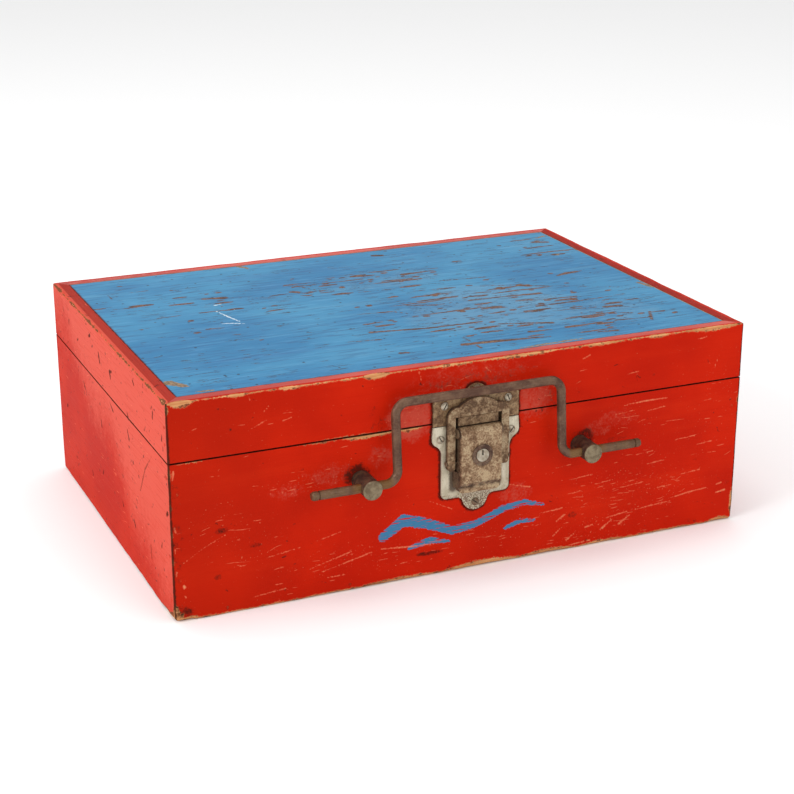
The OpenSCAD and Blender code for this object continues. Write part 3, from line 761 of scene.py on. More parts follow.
def red_paint(name, grain, sheen, coat, deep, pale, fade_and_sheen_colour, nicks, aged=0.0, grit=0.6):
    """Old red oil paint over pine, worn by the mesh's marks: bare wood, scuffs, fading that
    on the side and back boards is painted sheen, and grime that on the front is partly
    painted shadow.

    nicks is the share of dark dents, aged how much of the bare wood has gone brown, and
    grit how patchy the fading and the painted sheen are."""
    f = Finish(name, IOR=1.5, Specular_IOR_Level=sheen)
    along = 0 if grain is ALONG_X else 1
    blotch = f.noise(70, 3, EVEN, 1)
    tone = f.noise(16, 4, grain, 2)
    brush = f.noise(0.9, 3, finer(grain, 4), 3)
    middle = f.noise(5.5, 4, EVEN, 4)
    fine = f.noise(1.3, 4, EVEN, 5)
    scuff, fade_and_sheen, grime_and_shadow = f.mark("scuff"), f.mark("fade_and_sheen"), f.mark("grime_and_shadow")

    f.start(f.step(blotch, 0.36, 0.66), deep, coat)
    f.lay(f.step(tone, 0.5, 0.8, 0.35), pale)
    f.lay(f.step(tone, 0.46, 0.2, 0.5), deep)
    f.lay(f.step(brush, 0.5, 0.75, 0.42), deep)
    # painted shade: paint laid along X is darker towards its left end
    if along == 0:  # dusky towards the left end of the front
        left_end = f.add(f.axis("X"), f.swing(blotch, 90))
        f.lay(f.step(left_end, -60, -205, 0.6), (164, 27, 4))
    # fading patches, and on the side and back boards painted sheen: the paler colour is laid
    # where the fade mark is high
    powder = f.add(fade_and_sheen, f.swing(fine, 1.5 * grit), f.swing(middle, 1.7 * grit))
    f.lay(f.times(f.step(powder, 0.25, 0.85), f.step(fade_and_sheen, 0.0, 0.25, 0.85)), fade_and_sheen_colour)
    f.lay(f.times(f.step(brush, 0.52, 0.7, 0.3), fade_and_sheen), deep)

    # nicks: small dark dents, and a few fine dark scores
    bowed = f.bent(9, 5)
    pins = f.times(f.step(blotch, 0.45, 0.6), nicks * 0.7)
    nick = f.times(
        f.most(f.dashes(4, 1.7, nicks * 0.7, 8, along, 20, place=bowed),
               f.dashes(8, 3.4, nicks * 0.6, 5, along, 50, place=bowed),
               f.dashes(1.8, 1.4, pins, 6, place=bowed),
               f.dashes(16, 0.5, nicks * 0.7, 7, along, -38, place=bowed)),
        f.step(middle, 0.46, 0.54), f.step(fine, 0.36, 0.5))
    f.lay(f.times(nick, 0.85), (88, 26, 18))

    # blue brush marks, thin where the brush ran dry
    dry = f.noise(0.9, 3, finer(grain, 1.5), 9)
    blue = f.add(f.mark("blue"), f.swing(fine, 2.4), f.swing(dry, 2.6))
    blue = f.times(f.step(blue, -0.1, 0.25), f.step(dry, 0.62, 0.56))
    f.lay(blue, (62, 118, 156))

    # scratches and rubbed specks down to the pale undercoat
    slack = f.bent(13, 1.8)
    scratch = f.most(
        f.dashes(7, 0.6, f.times(scuff, 0.22), 1, along, 2, place=slack),
        f.dashes(20, 0.46, f.times(scuff, 0.1), 2, along, -3, place=slack),
        f.dashes(11, 0.4, f.times(scuff, 0.04), 3, along, 16, place=slack),
        f.step(f.add(fine, f.times(scuff, 0.1), f.swing(middle, 0.2)), 0.705, 0.75))
    scraped = f.add(f.mark("scrape"), f.swing(fine, 1.5), f.swing(middle, 0.8))
    worn = f.most(f.times(scratch, f.step(fine, 0.3, 0.48)), f.step(scraped, -0.2, 0.1))
    f.lay(f.times(worn, 0.64), (220, 106, 74))
    f.lay(f.step(scraped, 0.25, 0.6, 0.8), (204, 142, 98))

    # paint edge, undercoat rim and bare wood, which is brown where it isn't freshly chipped
    ragged = f.add(f.mark("bare"), f.swing(fine, 3.2), f.swing(middle, 3.4))
    bare = f.step(ragged, -0.14, 0.1)
    wood, growth = wood_colour(f, grain)
    f.lay(f.times(f.step(ragged, -0.62, -0.3), 0.5), (214, 104, 68))
    f.lay(bare, wood)
    fresh = f.step(f.mark("bare"), 0.6, 2.2, -0.28)
    stained = f.add(middle, f.swing(fine, 0.5), aged, fresh)
    f.lay(f.times(bare, f.step(stained, 0.5, 0.64, 0.9)), (104, 54, 38))

    # dirt, and on the front painted shadow of the bail, the posts and the lock plates
    dirt_and_shadow = f.step(f.add(grime_and_shadow, f.swing(middle, 1.5), f.swing(fine, 0.9)), 0.3, 1.0)
    dirt_and_shadow = f.times(dirt_and_shadow, f.step(grime_and_shadow, 0.0, 0.2))
    f.lay(f.times(dirt_and_shadow, 0.88), DIRT_AND_SHADOW)

    rough = f.blend(bare, f.add(0.4, f.times(brush, 0.16)), 0.8)
    height = f.add(
        f.sum_of((bare, -0.5), (brush, 0.22), (nick, -0.6), (fine, 0.1), (worn, -0.2)),
        f.times(bare, growth, 0.4), f.times(blue, 0.1), f.times(tone, 0.35))
    return f.finish(f.blend(dirt_and_shadow, rough, 0.62), height, 0.3)


def blue_paint():
    """Blue oil paint on the top panel, cracked and flaked along the grain."""
    f = Finish("blue_paint", IOR=1.5, Specular_IOR_Level=0.22)
    blotch = f.noise(80, 3, (1.5, 1, 1), 1)
    tone = f.noise(12, 4, ALONG_X, 2)
    fine = f.noise(1.2, 4, (1.6, 1, 1), 3)
    middle = f.noise(5, 4, (1.8, 1, 1), 4)
    weave = f.noise(2.8, 3, (11, 1, 1), 8, rough=0.6, bend=0.4)
    worn = f.mark("worn")

    f.start(f.step(blotch, 0.35, 0.65), (34, 112, 158), (56, 132, 172))
    f.lay(f.step(tone, 0.52, 0.8, 0.5), (90, 148, 180))
    f.lay(f.step(tone, 0.45, 0.22, 0.4), (34, 100, 150))
    f.lay(f.step(weave, 0.53, 0.64, 0.5), (36, 84, 124))
    f.lay(f.step(weave, 0.44, 0.34, 0.3), (96, 156, 196))
    chalk = f.step(f.add(worn, f.swing(middle, 1.0), f.swing(blotch, 1.2)), 0.5, 1.1)
    f.lay(f.times(chalk, 0.4), (106, 146, 172))

    # hairline cracks that follow the grain, everywhere, and a crazed net here and there
    wavy = f.bent(16, 2.2)
    hair = f.most(f.dashes(24, 1.2, f.add(0.36, f.times(worn, 0.35)), 1, place=wavy),
                  f.dashes(8, 1.5, f.add(0.26, f.times(worn, 0.4)), 2, place=wavy))
    crazed = f.step(f.add(worn, f.swing(f.noise(30, 3, (1.4, 1, 1), 12), 3.4)), 0.75, 1.1)
    net = f.times(f.crackle(5.5, 0.6, (1.7, 1, 1), wavy), crazed, f.step(fine, 0.5, 0.6))
    crack = f.most(f.times(hair, f.step(fine, 0.38, 0.54)), net)
    f.lay(f.times(crack, 0.75), (54, 60, 74))

    # flakes down to the brown wood, crowded where the panel is worn most
    worn_low = f.math("SUBTRACT", worn, 0.15)
    flake = f.most(
        f.dashes(16, 2.4, f.times(worn_low, 0.4), 3, edge=0.4, place=wavy),
        f.dashes(44, 1.7, f.times(worn_low, 0.4), 4, edge=0.4, place=wavy),
        f.dashes(5, 2.0, f.add(0.02, f.times(worn_low, 0.24)), 5, edge=0.4, place=wavy))
    ragged = f.add(f.mark("chip"), f.swing(fine, 2.2), f.swing(middle, 2.4))
    open_wood = f.add(f.times(flake, 1.1), f.swing(fine, 1.5), f.swing(middle, 1.3))
    bare = f.most(f.step(open_wood, 0.62, 0.74), f.step(ragged, -0.05, 0.2))
    rim = f.most(f.step(open_wood, 0.42, 0.58), f.step(ragged, -0.5, -0.15))
    wood = f.mix(f.step(fine, 0.35, 0.65), (86, 58, 50), (128, 98, 84))
    wood = f.mix(f.step(middle, 0.5, 0.62, 0.7), wood, (74, 54, 48))
    # painted shadow: a dark grey rim laid round each flake and ragged paint edge
    f.lay(f.times(rim, 0.6), (66, 66, 76))
    f.lay(bare, wood)
    tan = f.add(f.mark("tan"), f.swing(fine, 2.6), f.swing(middle, 3.2))
    f.lay(f.step(tan, -0.1, 0.15),
          f.mix(f.step(fine, 0.38, 0.62), (98, 76, 58), (150, 124, 94)))
    scratch = f.add(f.mark("pale"), f.swing(fine, 1.8), f.swing(middle, 0.8))
    f.lay(f.step(scratch, -0.2, 0.3, 0.8), (226, 234, 236))

    pit = f.dashes(2.4, 1.8, 0.05, 6)
    f.lay(f.times(pit, 0.8), (38, 40, 46))
    f.lay(f.times(f.mark("grime_and_shadow"), f.step(middle, 0.3, 0.6), 0.85), (70, 44, 38))

    rough = f.blend(bare, f.add(0.42, f.times(tone, 0.14)), 0.82)
    height = f.sum_of((bare, -0.6), (crack, -0.35), (tone, 0.35), (fine, 0.12), (rim, 0.12),
                      (pit, -0.7))
    return f.finish(rough, height, 0.3)


def bare_wood(name, grain):
    """Unpainted pine inside the case and under it."""
    f = Finish(name, IOR=1.45)
    f.colour, growth = wood_colour(f, grain)
    blotch = f.noise(45, 4, EVEN, 21)
    ring = f.noise(14, 2, grain, 22, bend=1.2)
    stain = f.noise(26, 5, EVEN, 23)
    f.lay(f.step(ring, 0.5, 0.62, 0.35), (176, 120, 70))
    f.lay(f.step(blotch, 0.42, 0.7, 0.55), (150, 112, 76))
    f.lay(f.step(stain, 0.62, 0.74, 0.6), (84, 60, 42))
    return f.finish(f.add(0.66, f.times(growth, 0.2)), f.sum_of((growth, 0.7), (ring, 0.5)),
                    0.22)


def mottled_iron(name, light, mid, rust, size=1.0, shine=0.0, flank=None, cheek=None):
    """Worn plating broken up by brown rust, with painted shade in the piece's own corners.

    A painted highlight lays the plating paler low on the piece, by the share called shine.
    Painted shade darkens faces less than flank mm in front of the case, faces more than cheek
    mm beside the lock's middle, and, where there is shine, the fold above the lever's lip."""
    fold_top, fold_foot = 65.0, 59.4
    f = Finish(name, Metallic=0.25, IOR=1.5)
    speck = f.noise(1.3 * size, 3, EVEN, 1, rough=0.65)
    patch = f.noise(4.5 * size, 3, EVEN, 2)
    pit = f.noise(0.8 * size, 2, EVEN, 3, rough=0.6)
    blot = f.noise(11 * size, 3, EVEN, 4)
    up = f.axis("Z")
    # painted highlight: the plating is laid paler low on the piece
    low = f.step(up, 90, 64, shine)
    mottle = f.add(speck, f.swing(patch, 0.8), f.swing(blot, 0.9), f.times(low, -0.06))
    f.start(f.step(mottle, 0.3, 0.52), light, mid)
    f.lay(f.step(mottle, 0.5, 0.68, 0.85), rust)
    f.lay(f.step(pit, 0.57, 0.68, 0.7), (58, 36, 22))
    # painted shade in the piece's own corners, on its side faces and in the fold above the lip
    dark = f.step(f.add(f.crevice(2.6), f.swing(speck, 0.4)), 0.95, 0.5)
    if flank:
        out = f.add(f.axis("Y"), HALF_D + flank, f.swing(speck, 0.8))
        dark = f.most(dark, f.step(out, -0.5, 0.6, 0.8))
    if cheek:
        side = f.add(f.beside(LOCK_X), f.swing(speck, 0.8))
        dark = f.most(dark, f.step(side, cheek, cheek + 0.7, 0.85))
    if shine:
        fold = f.times(f.step(up, fold_top, fold_top - 2), f.step(up, fold_foot, fold_foot + 1.6))
        dark = f.most(dark, f.times(fold, f.step(patch, 0.2, 0.6, 0.85)))
    f.lay(f.times(dark, 0.9), (46, 28, 17))
    return f.finish(f.add(0.5, f.times(f.step(mottle, 0.4, 0.7), 0.25)),
                    f.sum_of((speck, 0.9), (pit, 0.4)), 0.2)


def plated_steel():
    """Dull plating of the base plate, stained at the foot, with painted shade behind the lever,
    on its proud ears and in its corners.
    """
    f = Finish("plated_steel", Metallic=0.2, IOR=1.5, Specular_IOR_Level=0.3)
    speck = f.noise(1.0, 3, EVEN, 1, rough=0.7)
    smear = f.noise(5, 4, (1, 1, 2.5), 2)
    patch = f.noise(9, 4, EVEN, 3)
    up = f.axis("Z")
    f.start(f.step(smear, 0.35, 0.68), (178, 168, 144), (210, 202, 180))
    f.lay(f.step(patch, 0.55, 0.72, 0.7), (136, 120, 92))
    f.lay(f.step(speck, 0.58, 0.68, 0.6), (112, 90, 62))
    foot = f.step(f.add(up, f.swing(patch, 22)), 58, 50)
    rusty = f.times(foot, f.step(f.add(speck, f.swing(smear, 0.6)), 0.41, 0.53))
    # painted shade on the plate behind the lever
    shade_behind_lever = f.times(f.step(f.add(f.beside(LOCK_X), f.swing(speck, 3)), 19.5, 17.5),
                     f.step(f.add(up, f.swing(smear, 5)), 55.5, 58.5))
    # painted shade on the proud ears beside the lever
    proud_in_shade = f.step(f.axis("Y"), -HALF_D - 1.6, -HALF_D - 2.4)
    f.lay(f.times(rusty, 0.85), (92, 64, 40))
    f.lay(f.times(shade_behind_lever, 0.85), (66, 44, 28))
    f.lay(f.times(proud_in_shade, 0.7), (104, 82, 58))
    # painted shade in the plate's own corners
    f.lay(f.times(f.step(f.crevice(1.6), 0.9, 0.4), 0.8), (44, 28, 18))
    return f.finish(f.add(0.45, f.times(patch, 0.25)), f.sum_of((speck, 0.4), (smear, 0.4)),
                    0.12)


def handle_steel():
    """Brown steel rod, rubbed smooth, with ochre rust next to the posts."""
    f = Finish("handle_steel", Metallic=0.4, IOR=1.5, Specular_IOR_Level=0.4)
    speck = f.noise(0.9, 4, EVEN, 1, rough=0.7)
    patch = f.noise(7, 4, EVEN, 2)
    drawn = f.noise(1.1, 3, (8, 1, 1), 3)
    f.start(f.step(patch, 0.35, 0.65), (78, 50, 35), (108, 80, 60))
    f.lay(f.step(drawn, 0.5, 0.8, 0.3), (132, 118, 102))
    f.lay(f.step(speck, 0.56, 0.7, 0.75), (62, 38, 26))
    f.lay(f.step(speck, 0.4, 0.28, 0.6), (150, 128, 108))
    side = f.math("ABSOLUTE", f.axis("X"))
    ragged = f.add(side, f.swing(patch, 7))
    low = f.step(f.axis("Z"), POST_Z + 9, POST_Z + 4)
    ochre = f.times(low, f.step(ragged, 61, 64), f.step(ragged, 92, 84))
    f.lay(f.times(ochre, 0.6), (118, 84, 34))
    tips = f.times(low, f.step(side, 88, 96), f.step(speck, 0.4, 0.6))
    f.lay(f.times(tips, 0.7), (104, 80, 48))
    return f.finish(f.add(0.32, f.times(speck, 0.3)), f.sum_of((speck, 0.8), (drawn, 0.25)),
                    0.12)


def post_steel():
    """Dark brown stud with a turned, greyer end face."""
    f = Finish("post_steel", Metallic=0.3, IOR=1.5, Specular_IOR_Level=0.4)
    speck = f.noise(0.8, 4, EVEN, 1, rough=0.7)
    patch = f.noise(3.5, 4, EVEN, 2)
    end = f.step(f.times(f.axis("Y"), -1), HALF_D + 18.6, HALF_D + 19.7)
    f.start(end, f.mix(f.step(patch, 0.35, 0.7), (52, 34, 26), (84, 62, 44)),
            f.mix(f.step(patch, 0.35, 0.65), (100, 84, 62), (132, 118, 92)))
    f.lay(f.step(speck, 0.56, 0.7, 0.65), (72, 52, 34))
    return f.finish(f.add(0.42, f.times(speck, 0.35)), f.sum_of((speck, 0.8), (patch, 0.4)),
                    0.12)


def worn_steel(name, light, dark, metal=0.6, rusty_below=None, rusty_above=None):
    """Small screws, pins and the key plug, dull, with painted shade in their slots."""
    f = Finish(name, Metallic=metal, IOR=1.6)
    speck = f.noise(0.5, 3, EVEN, 1, rough=0.7)
    patch = f.noise(2.4, 3, EVEN, 2)
    up = f.axis("Z")
    f.start(f.step(patch, 0.35, 0.7), light, dark)
    f.lay(f.step(speck, 0.6, 0.72, 0.7), (78, 56, 38))
    if rusty_below:
        f.lay(f.step(up, rusty_below + 2, rusty_below, 0.85), (96, 70, 46))
    if rusty_above:
        f.lay(f.step(up, rusty_above, rusty_above + 2, 0.85), (96, 74, 54))
    # painted shade in the slots and corners of each piece
    f.lay(f.times(f.step(f.crevice(0.9), 0.85, 0.35), 0.95), (18, 12, 9))
    return f.finish(f.add(0.34, f.times(patch, 0.25)), f.sum_of((speck, 0.8), (patch, 0.4)),
                    0.06)


# One red paint in lit and shaded copies: the top rims of the front and back rails are laid paler
# as painted sheen, those of the side rails darker as painted shade, and the side boards' paler
# fade colour is painted sheen
RED_X = red_paint("red_paint_front", ALONG_X, 0.04, (194, 31, 4), (180, 25, 3), (206, 46, 14),
                  (188, 72, 56), 0.02)
RED_Y = red_paint("red_paint_side", ALONG_Y, 0.02, (186, 38, 14), (172, 28, 8), (196, 54, 30),
                  (205, 82, 65), 0.3, 0.32, 0.3)
SHEEN_RIM_X = red_paint("rim_paint_front_painted_sheen", ALONG_X, 0.4, (196, 72, 58), (172, 46, 34),
                  (206, 100, 88), (206, 100, 88), 0.03)
SHADED_RIM_Y = red_paint("rim_paint_side_painted_shade", ALONG_Y, 0.03, (150, 29, 15), (132, 23, 10), (164, 46, 32),
                  (164, 46, 32), 0.34, 0.32)
BLUE = blue_paint()
WOOD_X = bare_wood("bare_wood_x", ALONG_X)
WOOD_Y = bare_wood("bare_wood_y", ALONG_Y)
PLATED = plated_steel()
# shine lays a painted highlight low on the lever; flank and cheek lay painted shade on the side
# faces of the lever, link and keeper
LEVER_IRON = mottled_iron("lever_iron", (172, 148, 114), (138, 109, 79), (102, 72, 46),
                          shine=1.0, flank=5.0, cheek=13.9)
LINK_IRON = mottled_iron("link_iron", (160, 138, 106), (126, 98, 68), (84, 58, 36), flank=4.2)
KEEPER_IRON = mottled_iron("keeper_iron", (140, 114, 82), (118, 90, 60), (82, 56, 34),
                           flank=4.0)
CATCH_IRON = mottled_iron("catch_iron", (150, 122, 86), (126, 96, 64), (92, 64, 40), size=1.3)
DARK_IRON = mottled_iron("hinge_iron", (112, 90, 70), (88, 62, 44), (60, 36, 24), size=1.6)
HANDLE = handle_steel()
POST = post_steel()
SCREW = worn_steel("screw_steel", (182, 172, 152), (118, 100, 78), 0.6, 54, 121)
PLUG = worn_steel("plug_steel", (176, 166, 148), (140, 128, 108), 0.4)
DULL = worn_steel("dull_steel", (120, 102, 80), (84, 66, 48), 0.4)

# ---------- wooden pieces ----------

# Places of a board's three materials, and how deep the paint laps onto its sawn rims in mm
PAINT, RIM, WOOD = 0, 1, 2
PAINT_LAP = 3.3


def make_board(name, side, span, body, cad_node, materials, steps):
    """A mitred side board or rail: painted outside, bare inside, worn arrises."""
    points, u, loop = board_points(side, span, *steps)
    marks = face_marks(points, side, span)
    points = press_nails(points, side, span)
    faces = tube_faces(len(u), len(loop))
    kinds = []
    for (deep, z), (next_deep, next_z) in zip(loop, loop[1:] + loop[:1]):
        underneath = max(z, next_z) < CASE_Z[0] + 0.01
        if max(deep, next_deep) < PAINT_LAP or underneath:
            kinds.append(PAINT)
        elif min(z, next_z) > LID_Z[1] - 0.01:
            kinds.append(RIM)
        else:
            kinds.append(WOOD)
    face_kinds = kinds * (len(u) - 1) + [WOOD, WOOD]
    if side in ("front", "right"):  # these come out facing inwards
        faces = [f[::-1] for f in faces]
    piece = new_piece(name, body, soften(points, span), faces, materials,
                      face_kinds, marks)
    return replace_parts(piece, cad_node)


# Materials of each side, and the spacing of its grid along the board and up it
WOODEN = {
    "front": ((RED_X, SHEEN_RIM_X, WOOD_X), (1.3, 0.62)), "back": ((RED_X, SHEEN_RIM_X, WOOD_X), (2.2, 1.2)),
    "left": ((RED_Y, SHADED_RIM_Y, WOOD_Y), (1.3, 0.9)), "right": ((RED_Y, SHADED_RIM_Y, WOOD_Y), (2.2, 1.2)),
}
for side_name, (finishes, spacing) in WOODEN.items():
    make_board(f"{side_name}_board", side_name, CASE_Z, "case", f"case_{side_name}_board",
               finishes, spacing)
    make_board(f"{side_name}_rail", side_name, LID_Z, "lid", f"lid_{side_name}_rail",
               finishes, spacing)

# Strokes on the top panel, as (x, y, width): flakes down to brown wood, flakes down to tan
# wood, and pale scratches
TOP_FLAKES = [
    [(-182, 58, 0.8), (-160, 57, 1.8)], [(-157, 93, 1.4), (-143, 94, 1.6)],
    [(-173, 98, 1.0), (-171, 82, 1.6)], [(-114, 58, 3.2), (-99, 55, 5.0)],
    [(-99, 55, 0.9), (-72, 43, 1.6), (-54, 38, 1.0)], [(-51, 50, 4.0), (-46, 47, 4.6)],
    [(-133, -10, 2.2), (-120, -11, 1.2)], [(-138, 12, 3.2), (-136, 12, 3.2)],
    [(-142, -15, 3.0), (-139, -15, 2.6)], [(-173, 7, 2.6), (-171, 6, 2.0)],
    [(-128, 88, 3.0), (-124, 86, 2.2)], [(-121, -28, 2.0), (-116, -29, 2.0)],
    [(-45, 68, 1.6), (-38, 55, 2.4), (-31, 45, 1.8)], [(-24, 61, 1.8), (8, 61, 2.2)],
    [(39, 60, 4.2), (65, 61, 1.6)], [(62, 66, 1.2), (70, 66, 1.8)],
    [(10, -13, 1.8), (30, -20, 2.8)], [(-30, -19, 1.0), (-4, -22, 2.4), (4, -32, 1.6)],
    [(-33, -42, 3.0), (-19, -41, 1.8)], [(-37, -59, 3.2), (1, -66, 2.4), (37, -67, 2.6)],
    [(-62, -72, 1.0), (-36, -76, 2.2)], [(-36, -107, 2.6), (-30, -108, 3.2)],
    [(8, -107, 4.4), (30, -109, 4.6), (68, -114, 1.6)], [(14, -81, 1.8), (15, -102, 2.4)],
    [(15, -112, 2.6), (16, -118, 2.2)], [(54, -19, 2.6), (80, -20, 2.2), (108, -23, 4.6)],
    [(66, -4, 2.4), (78, -6, 1.6)], [(78, 10, 1.4), (106, 2, 2.4)],
    [(104, 1, 5.0), (110, -3, 4.6)], [(108, -2, 2.2), (134, -14, 1.6), (187, -42, 1.0)],
    [(48, -76, 2.0), (84, -88, 3.2)], [(37, -80, 2.2), (43, -81, 2.2)],
    [(40, -6, 3.0), (53, -6, 1.6)], [(88, 77, 3.2), (95, 76, 2.0)],
    [(40, 117, 4.0), (46, 115, 4.0)], [(140, 12, 2.0), (152, 16, 5.0), (164, 17, 1.4)],
    [(102, -50, 2.8), (130, -50, 1.8), (151, -49, 1.6)], [(133, -70, 3.2), (145, -72, 3.6)],
    [(124, -100, 2.2), (150, -103, 1.0)], [(87, -101, 4.0), (115, -100, 2.0)],
    [(60, -100, 3.4), (76, -101, 2.0)], [(100, -118, 1.6), (115, -120, 3.2)],
    [(156, -92, 2.6), (148, -108, 2.4)], [(111, -76, 1.6), (144, -90, 2.0)],
    [(169, -101, 3.2), (172, -100, 3.0)], [(170, 104, 4.6), (180, 100, 4.0)],
    [(166, 65, 4.0), (170, 65, 4.2)], [(90, -36, 1.6), (128, -40, 2.4)],
    [(70, -46, 1.2), (98, -48, 2.0)], [(24, 18, 1.2), (60, 14, 2.0)],
    [(-8, 30, 1.4), (26, 28, 1.2)], [(56, 34, 1.2), (92, 30, 1.8)],
    [(96, -64, 1.4), (128, -68, 2.2)], [(60, -58, 1.8), (92, -62, 1.4)],
]
TOP_TAN = [
    [(-187, -104, 8.0), (-178, -115, 2.6)], [(-176, -126, 2.4), (-166, -127, 1.6)],
    [(-63, 128, 4.0), (-59, 121, 2.6)], [(39, -128, 1.2), (62, -127, 2.4), (86, -126, 1.0)],
    [(186, -27, 3.0), (189, -41, 2.4)], [(20, -108, 1.0), (30, -109, 1.6)],
    [(168, 62, 2.0), (171, 66, 1.4)], [(178, 114, 3.0), (186, 118, 2.2)],
]
TOP_PALE = [
    [(-114, 26, 1.0), (-111, 12, 1.5), (-107, -2, 0.9)],
    [(-120, -2, 0.9), (-113, -4, 1.6), (-106, -8, 0.9)], [(-111, 40, 1.4), (-105, 42, 0.8)],
    [(-102, 26, 1.0), (-100, 24, 0.8)],
]
# Worn areas of the top panel: x, y, their radii, strength
TOP_WORN = [
    (60, -40, 110, 85, 1.0), (120, -80, 80, 50, 0.9), (10, 55, 90, 42, 0.8),
    (-90, 40, 60, 50, 0.4), (165, 80, 40, 60, 0.5), (-150, 60, 60, 60, 0.3),
]


def panel_marks(points):
    """Attribute values of the blue top panel."""
    flat = points[:, :2]
    edge = np.minimum(-panel_lo[0] - np.abs(flat[:, 0]), -panel_lo[1] - np.abs(flat[:, 1]))
    return {"chip": strokes(flat, TOP_FLAKES, 1.1) - 0.35, "tan": strokes(flat, TOP_TAN),
            "pale": strokes(flat, TOP_PALE), "worn": np.maximum(0.1, patches(flat, TOP_WORN)),
            "grime_and_shadow": 0.75 * (1 - smooth(edge, 0.2, 1.4))}


def make_panel(name, body, cad_node, materials, steps, marks_of=None, marks_at=()):
    """A flat panel as a closed grid, with small rounded arrises on both faces."""
    gap, sag, radius = 0.16, 0.12, 0.45
    lo, hi = box_mm(cad_node)
    xs = lines(lo[0], hi[0], steps[0], marks_at, (1.0, 2.0, 3.0, 4.0, 5.0, 6.0, 7.0, 8.0))
    ys = lines(lo[1], hi[1], steps[1])
    nx, ny = len(xs), len(ys)
    points, faces, kinds = [], [], []
    for z, up in ((hi[2], 1), (lo[2], -1)):
        start = len(points)
        for x in xs:
            for y in ys:
                ax = min(x - lo[0], hi[0] - x)
                ay = min(y - lo[1], hi[1] - y)
                inside = max(0.0, radius - min(ax, ay))
                drop = radius - math.sqrt(max(0.0, radius**2 - inside**2))
                place = (math.copysign(abs(x) - (gap if ax < 1e-6 else 0), x),
                         math.copysign(abs(y) - (gap if ay < 1e-6 else 0), y))
                points.append((*place, z - up * (drop + sag)))
        for i in range(nx - 1):
            for j in range(ny - 1):
                a = start + i * ny + j
                faces.append((a, a + ny, a + ny + 1, a + 1)[::up])
                kinds.append(0 if up > 0 else 1)
    ring = [i * ny for i in range(nx)] + [(nx - 1) * ny + j for j in range(1, ny)]
    ring += [i * ny + ny - 1 for i in range(nx - 2, -1, -1)] + list(range(ny - 2, 0, -1))
    below = nx * ny
    for a, b in zip(ring, ring[1:] + ring[:1]):
        faces.append((a, a + below, b + below, b))
        kinds.append(1)
    points = np.array(points)
    marks = marks_of(points) if marks_of else None
    piece = new_piece(name, body, points, faces, materials, kinds, marks)
    crease(piece, 60)
    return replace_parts(piece, cad_node)


# The grid is finer round x = -112, where the pale scratches are
make_panel("top_panel", "lid", "lid_panel", [BLUE, WOOD_X], (2.6, 1.3),
           panel_marks, (-112,))
make_panel("floor_panel", "case", "bottom_panel", [WOOD_X, WOOD_X], (8, 6))

# ---------- nails ----------

# Outline of a cut nail with a low domed head: radius, height from the painted face
NAIL_PROFILE = [(0.3, -24.5), (0.9, -22), (0.95, -1.2), (1.1, -0.9), (1.15, -0.6), (1.0, -0.3),
                (0.6, -0.2), (0.2, -0.18)]


def lathe(profile, around=20):
    """Points and faces of a turned shape: profile of (radius, height) along +Z."""
    angles = [2 * math.pi * j / around for j in range(around)]
    points = [(r * math.cos(a), r * math.sin(a), h) for r, h in profile for a in angles]
    return points, tube_faces(len(profile), around)


def make_nails(name, body, cad_node):
    """The nails of one CAD node, their heads sunk a little below the painted face."""
    shape, quads = lathe(NAIL_PROFILE)
    points, faces = [], []
    for axis, middle in nails_in(cad_node):
        sign = math.copysign(1, middle[axis])
        turn = sign if axis == 1 else -sign
        start = len(points)
        for x, y, h in shape:
            out = (HALF_W, HALF_D)[axis] * sign + sign * h
            side, height = middle[1 - axis] + x * turn, middle[2] + y
            points.append((out, side, height) if axis == 0 else (side, out, height))
        faces += [tuple(start + v for v in reversed(f)) for f in quads]
    points = np.array(points)
    levels = {"bare": 1.2 * waves(points, 6, 5) - 1.1, "blue": OUTSIDE, "scuff": 0.6,
              "fade_and_sheen": 0.2, "grime_and_shadow": 0.4, "scrape": OUTSIDE}
    marks = {key: np.full(len(points), level) for key, level in levels.items()}
    piece = new_piece(name, body, points, faces, [RED_Y], None, marks)
    crease(piece)
    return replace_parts(piece, cad_node)


make_nails("case_nail_heads", "case", "case_nails")
make_nails("lid_nail_heads", "lid", "lid_nails")

# ---------- bail handle ----------

ROD_R = PIVOT[2] - bail_lo[2]
ARM_X = 57.5
BEND_R = 8.0
TIP_X = bail_hi[0]
back, rise = bail_hi[1:] - PIVOT[1:] - ROD_R
LEAN = math.atan2(back, rise)
ARM_LEN = math.hypot(back, rise)
# The turned groove near each tip, as distances from the tip, and its depth
GROOVE = (4.0, 5.0)
GROOVE_DEPTH = 0.6
TIP_CHAMFER = 0.7


def bail_path(step=1.4):
    """Half of the rod's centre line from its tip to the middle: (x, distance from the axis)."""
    foot_x, straight_x = ARM_X + BEND_R, TIP_X - 6.5
    top = ARM_LEN - BEND_R
    turn = np.radians(np.linspace(0, 90, 12))[1:]

    def run(low, high):
        return np.linspace(low, high, round(abs(high - low) / step))

    path = [(TIP_X - d, 0.0) for d in (0, 0.5, 1.2, 2.5, 3.9, 4.0, 4.1, 4.9, 5.0, 5.1)]
    path += [(x, 0.0) for x in run(straight_x, foot_x)]
    path += [(foot_x - BEND_R * math.sin(a), BEND_R - BEND_R * math.cos(a)) for a in turn]
    path += [(ARM_X, v) for v in run(BEND_R, top)[1:]]
    path += [(ARM_X - BEND_R + BEND_R * math.cos(a), top + BEND_R * math.sin(a)) for a in turn]
    return path + [(x, ARM_LEN) for x in run(ARM_X - BEND_R, 0)[1:]]


